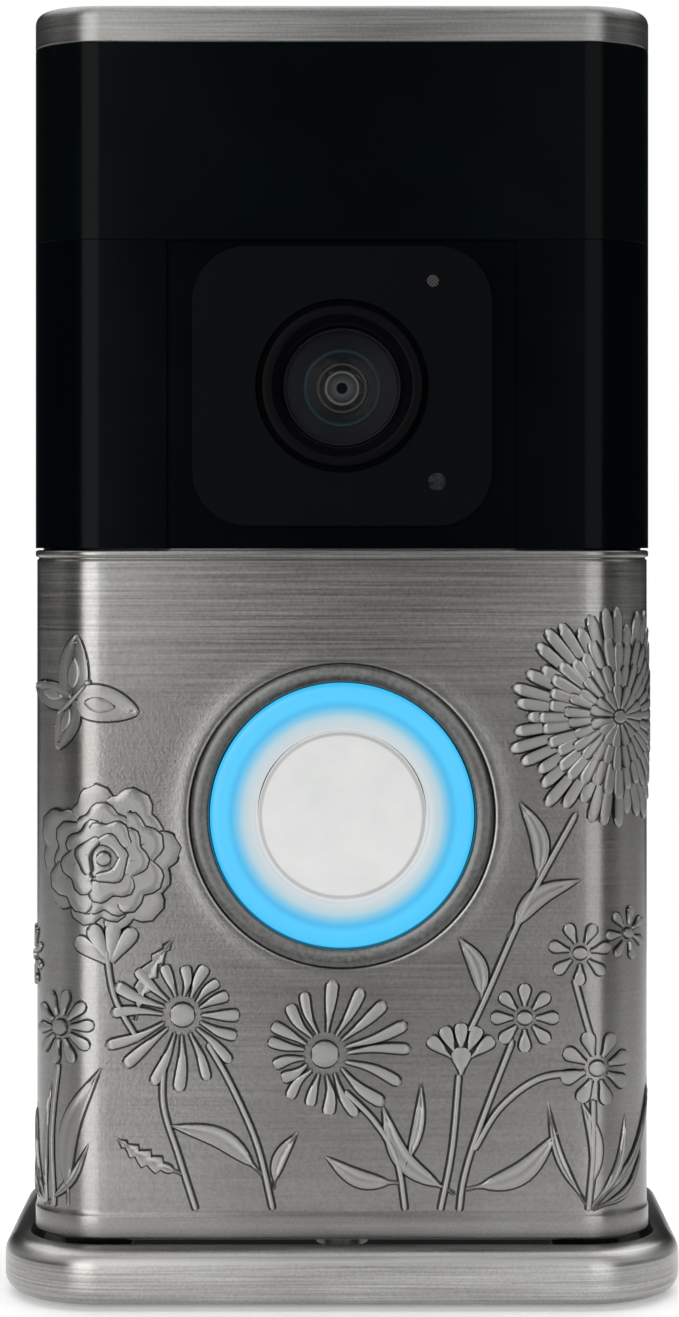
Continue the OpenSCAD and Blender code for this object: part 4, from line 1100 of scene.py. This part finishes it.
def camera_fascia():
    """The black front round the camera, with a flat recess over its whole height."""
    low, high = box_mm("camera_fascia")
    recess_half, recess_y, floor_t, side_t = 17.4, FRONT + 0.8, 1.2, 1.5
    outer, inner = shell_sides(high[1])
    half = len(outer) // 2
    recess = [(-recess_half, FRONT), (-recess_half, recess_y), (recess_half, recess_y),
              (recess_half, FRONT)]
    wide, back, inside = recess_half + side_t, recess_y + floor_t, FRONT + 1.6
    behind = [(wide, inside), (wide, back), (-wide, back), (-wide, inside)]
    plan = np.concatenate([outer[:half], recess, outer[half:], inner[:half], behind, inner[half:]])
    narrower_gap = 0.12
    obj = add_mesh("fascia_shell", prism(plan, low[2] - narrower_gap, high[2]))
    carve(obj, *front_holes(8.05, FRONT - 2, 0, 64, 64))
    return piece(soften(obj, 0.1), "unit", "fascia_black", "camera_fascia")


def camera_plate():
    """The plate in the recess, with a gap round the lens's trim ring."""
    low, high = box_mm("camera_plate")
    corner, gap_r = 5.5, 8.6
    inset = (high[0] - low[0]) / 2 - corner, (high[2] - low[2]) / 2 - corner
    plan = []
    for sx, sz, start in ((1, 1, 0), (-1, 1, 90), (-1, -1, 180), (1, -1, 270)):
        plan += arc(LENS[0] + sx * inset[0], LENS[1] + sz * inset[1], corner, start, start + 90, 16)
    rings = [np.array([(x, y, z) for x, z in plan]) for y in (low[1], high[1])]
    obj = add_mesh("camera_plate_slab", loft(rings))
    carve(obj, *front_holes(gap_r, low[1] - 1, high[1] + 1, 128, 48))
    return piece(soften(obj, 0.14), "unit", "camera_plate_black", "camera_plate")


# ---- Camera ----

def lens_trim_ring():
    outer, front, back = round_node("lens_trim_ring")
    bore = 5.8
    corners = [(bore, back), (outer, back), (outer, front), (bore + 1.25, front),
               (bore + 0.95, front + 0.16), (bore + 0.35, front + 0.45), (bore + 0.08, front + 0.75)]
    profile = fillet(corners, 0.16, 3)
    return turned_piece("trim_ring", profile, LENS, 40, "unit", "lens_trim", "lens_trim_ring")


def lens_barrel():
    """The barrel with the stepped bowl that shows through the front lens."""
    outer, front, back = round_node("lens_barrel")
    bowl = [(5.72, 0), (5.55, 0.25), (5.5, 1.75), (4.3, 1.95), (3.95, 2.0), (3.85, 1.85), (3.65, 1.85),
            (3.55, 2.05), (2.65, 2.2), (2.5, 2.08), (2.3, 2.08), (2.2, 2.25), (1.8, 2.35), (1.7, 2.22),
            (1.5, 2.22), (1.42, 2.4), (0.95, 2.45), (0.6, 2.5), (0.52, 2.6), (0.5, 2.8)]
    profile = [(outer, front)] + [(r, front + depth) for r, depth in bowl]
    profile += [(4.3, front + 2.8), (4.3, -5), (3.2, -5), (3.2, back), (outer, back)]
    return turned_piece("barrel", profile, LENS, 35, "unit", "barrel_black", "lens_barrel")


def lens_front_element():
    """A thin domed lens."""
    radius, front, _ = round_node("lens_front_element")
    rise, thickness = 1.3, 0.35
    shares = np.linspace(0, 1, 15)
    outside = [(max(radius * s, CENTRE), front + rise * s * s) for s in shares]
    inside = [(max((radius - 0.02) * s, CENTRE), front + thickness + rise * s * s) for s in shares[::-1]]
    return turned_piece("front_lens", outside + inside, LENS, 40,
                        "unit", "coated_glass", "lens_front_element")


def cover_glass():
    radius, front, back = round_node("lens_cover_glass")
    edge = 0.15
    profile = [(CENTRE, front), (radius - edge, front), (radius, front + edge), (radius, back),
               (CENTRE, back)]
    return turned_piece("cover_pane", profile, LENS, 30, "unit", "cover_glass", "lens_cover_glass")


# ---- Button ----

def button_bezel():
    """A nearly flat ring between the faceplate's rim and the light ring."""
    flange, _, back = round_node("button_bezel")
    inner, outer = 13.27, 15.06
    face = [(inner, 0.3), (inner + 0.05, 0.12), (inner + 0.15, 0.05), (inner + 0.8, 0.02),
            (outer - 0.7, 0.03), (outer - 0.12, 0.08), (outer, 0.2), (outer, 1.25), (flange, 1.25)]
    profile = [(inner, back), *((r, FRONT + depth) for r, depth in face), (flange, back)]
    return turned_piece("bezel_ring", profile, BUTTON, 50, "faceplate", "bezel_metal", "button_bezel", 192)


def light_ring():
    """The diffuser: a flat face with a flange behind it."""
    flange, front, back = round_node("light_ring")
    inner, outer = 8.5, 13.1
    face = [(inner, front + 0.25), (inner + 0.1, front + 0.08), (inner + 0.3, front)]
    face += [(r, front) for r in np.linspace(inner + 0.8, outer - 0.5, 7)]
    face += [(outer - 0.15, front + 0.05), (outer, front + 0.22)]
    profile = face + [(outer, back - 1), (flange, back - 1), (flange, back), (inner, back)]
    return turned_piece("ring_diffuser", profile, BUTTON, 50, "unit", "light_ring", "light_ring", 192)


def button_cap():
    """The pressed disc: its face is a touch crowned, with a rounded edge and a seal groove."""
    flange, front, back = round_node("button_cap")
    radius, wall, skin, flange_t, crown = 8.36, 1.2, 1.5, 0.7, 0.12
    face = [(max(r, CENTRE), front + crown * (r / radius) ** 2) for r in np.linspace(0, radius - 0.5, 9)]
    edge = [(radius - 0.22, front + crown + 0.02), (radius - 0.06, front + crown + 0.12),
            (radius, front + crown + 0.3)]
    _, seal_front, seal_back = round_node("button_seal")
    bed, near, far = radius - 0.65, seal_front - 0.05, seal_back + 0.05
    groove = [(radius, near), (bed, near), (bed, far), (radius, far)]
    rear = [(radius, back - flange_t), (flange, back - flange_t), (flange, back), (radius - wall, back),
            (radius - wall, front + skin), (CENTRE, front + skin)]
    return turned_piece("button_disc", face + edge + groove + rear, BUTTON, 45,
                        "button", "button_white", "button_cap")


# ---- Stage ----

def floor():
    """A plain white sheet that ends a few centimetres in front of the object."""
    half, front, back, height = 0.3, -0.075, 0.25, -0.0002
    mesh = bpy.data.meshes.new("floor")
    mesh.from_pydata([(-half, front, 0), (half, front, 0), (half, back, 0), (-half, back, 0)], [],
                     [(0, 1, 2, 3)])
    mesh.materials.append(material("floor_paper", paper))
    obj = in_scene("floor", mesh)
    obj.location.z = height


def softbox(name, at, target, size, radiance):
    """A rectangular light at a place in metres that faces its target and looks as bright as radiance."""
    data = bpy.data.lights.new(name, "AREA")
    data.shape = "RECTANGLE"
    data.size, data.size_y = size
    data.energy = radiance * math.pi * size[0] * size[1]
    light = in_scene(name, data)
    light.location = at
    light.rotation_euler = (Vector(target) - Vector(at)).to_track_quat("-Z", "Y").to_euler()
    light.visible_camera = False


def lights():
    body, key, side = (0, 0, 0.06), (0.46, 0.8), (0.5, 0.4)
    softbox("left_key", (-0.33, -0.86, 0.2), body, key, 3.9)
    softbox("right_key", (0.33, -0.86, 0.2), body, key, 2.1)
    softbox("overhead", (0, 0.5, 1.1), (0, 0.5, 0), (2.4, 1.7), 2.0)
    softbox("left_side", (-1.1, -0.1, 0.5), body, side, 0.15)
    softbox("right_side", (1.1, -0.1, 0.5), body, side, 0.15)


def world():
    """White where the camera looks past the object, and a dim room for its light and reflections."""
    made = bpy.data.worlds.new("studio")
    bpy.context.scene.world = made
    made.use_nodes = True
    tree = made.node_tree
    tree.nodes.clear()
    ray = tree.nodes.new("ShaderNodeLightPath")
    room = add_node(tree, "ShaderNodeBackground", {"Color": (0.03, 0.031, 0.032)})
    backdrop = add_node(tree, "ShaderNodeBackground", {"Color": grey(1)})
    both = add_node(tree, "ShaderNodeMixShader", {
        "Fac": ray.outputs["Is Camera Ray"], 1: room.outputs[0], 2: backdrop.outputs[0]})
    add_node(tree, "ShaderNodeOutputWorld", {"Surface": both.outputs["Shader"]})


def camera():
    """In front of the doorbell, level, at the height of the black front's foot."""
    distance = 300
    data = bpy.data.cameras.new("camera")
    data.sensor_width = 36
    data.lens = 82.8
    data.shift_x = -0.0019
    data.shift_y = -0.0824
    data.clip_start = 0.01
    obj = in_scene("camera", data)
    obj.location = (0, (FRONT - distance) * MM, PLATE_HIGH[2] * MM)
    obj.rotation_euler = (math.pi / 2, 0, 0)
    bpy.context.scene.camera = obj
    bpy.context.scene.view_settings.view_transform = "Standard"


dress_cad_nodes()
faceplate_panel()
faceplate_lip()
flowers()
rose_and_butterfly()
large_bloom()
stems_and_leaves()
collar_floor()
collar_ears()
collar_rim()
top_cap()
sensor_window()
camera_fascia()
camera_plate()
lens_trim_ring()
lens_barrel()
lens_front_element()
cover_glass()
button_bezel()
light_ring()
button_cap()
floor()
lights()
world()
camera()
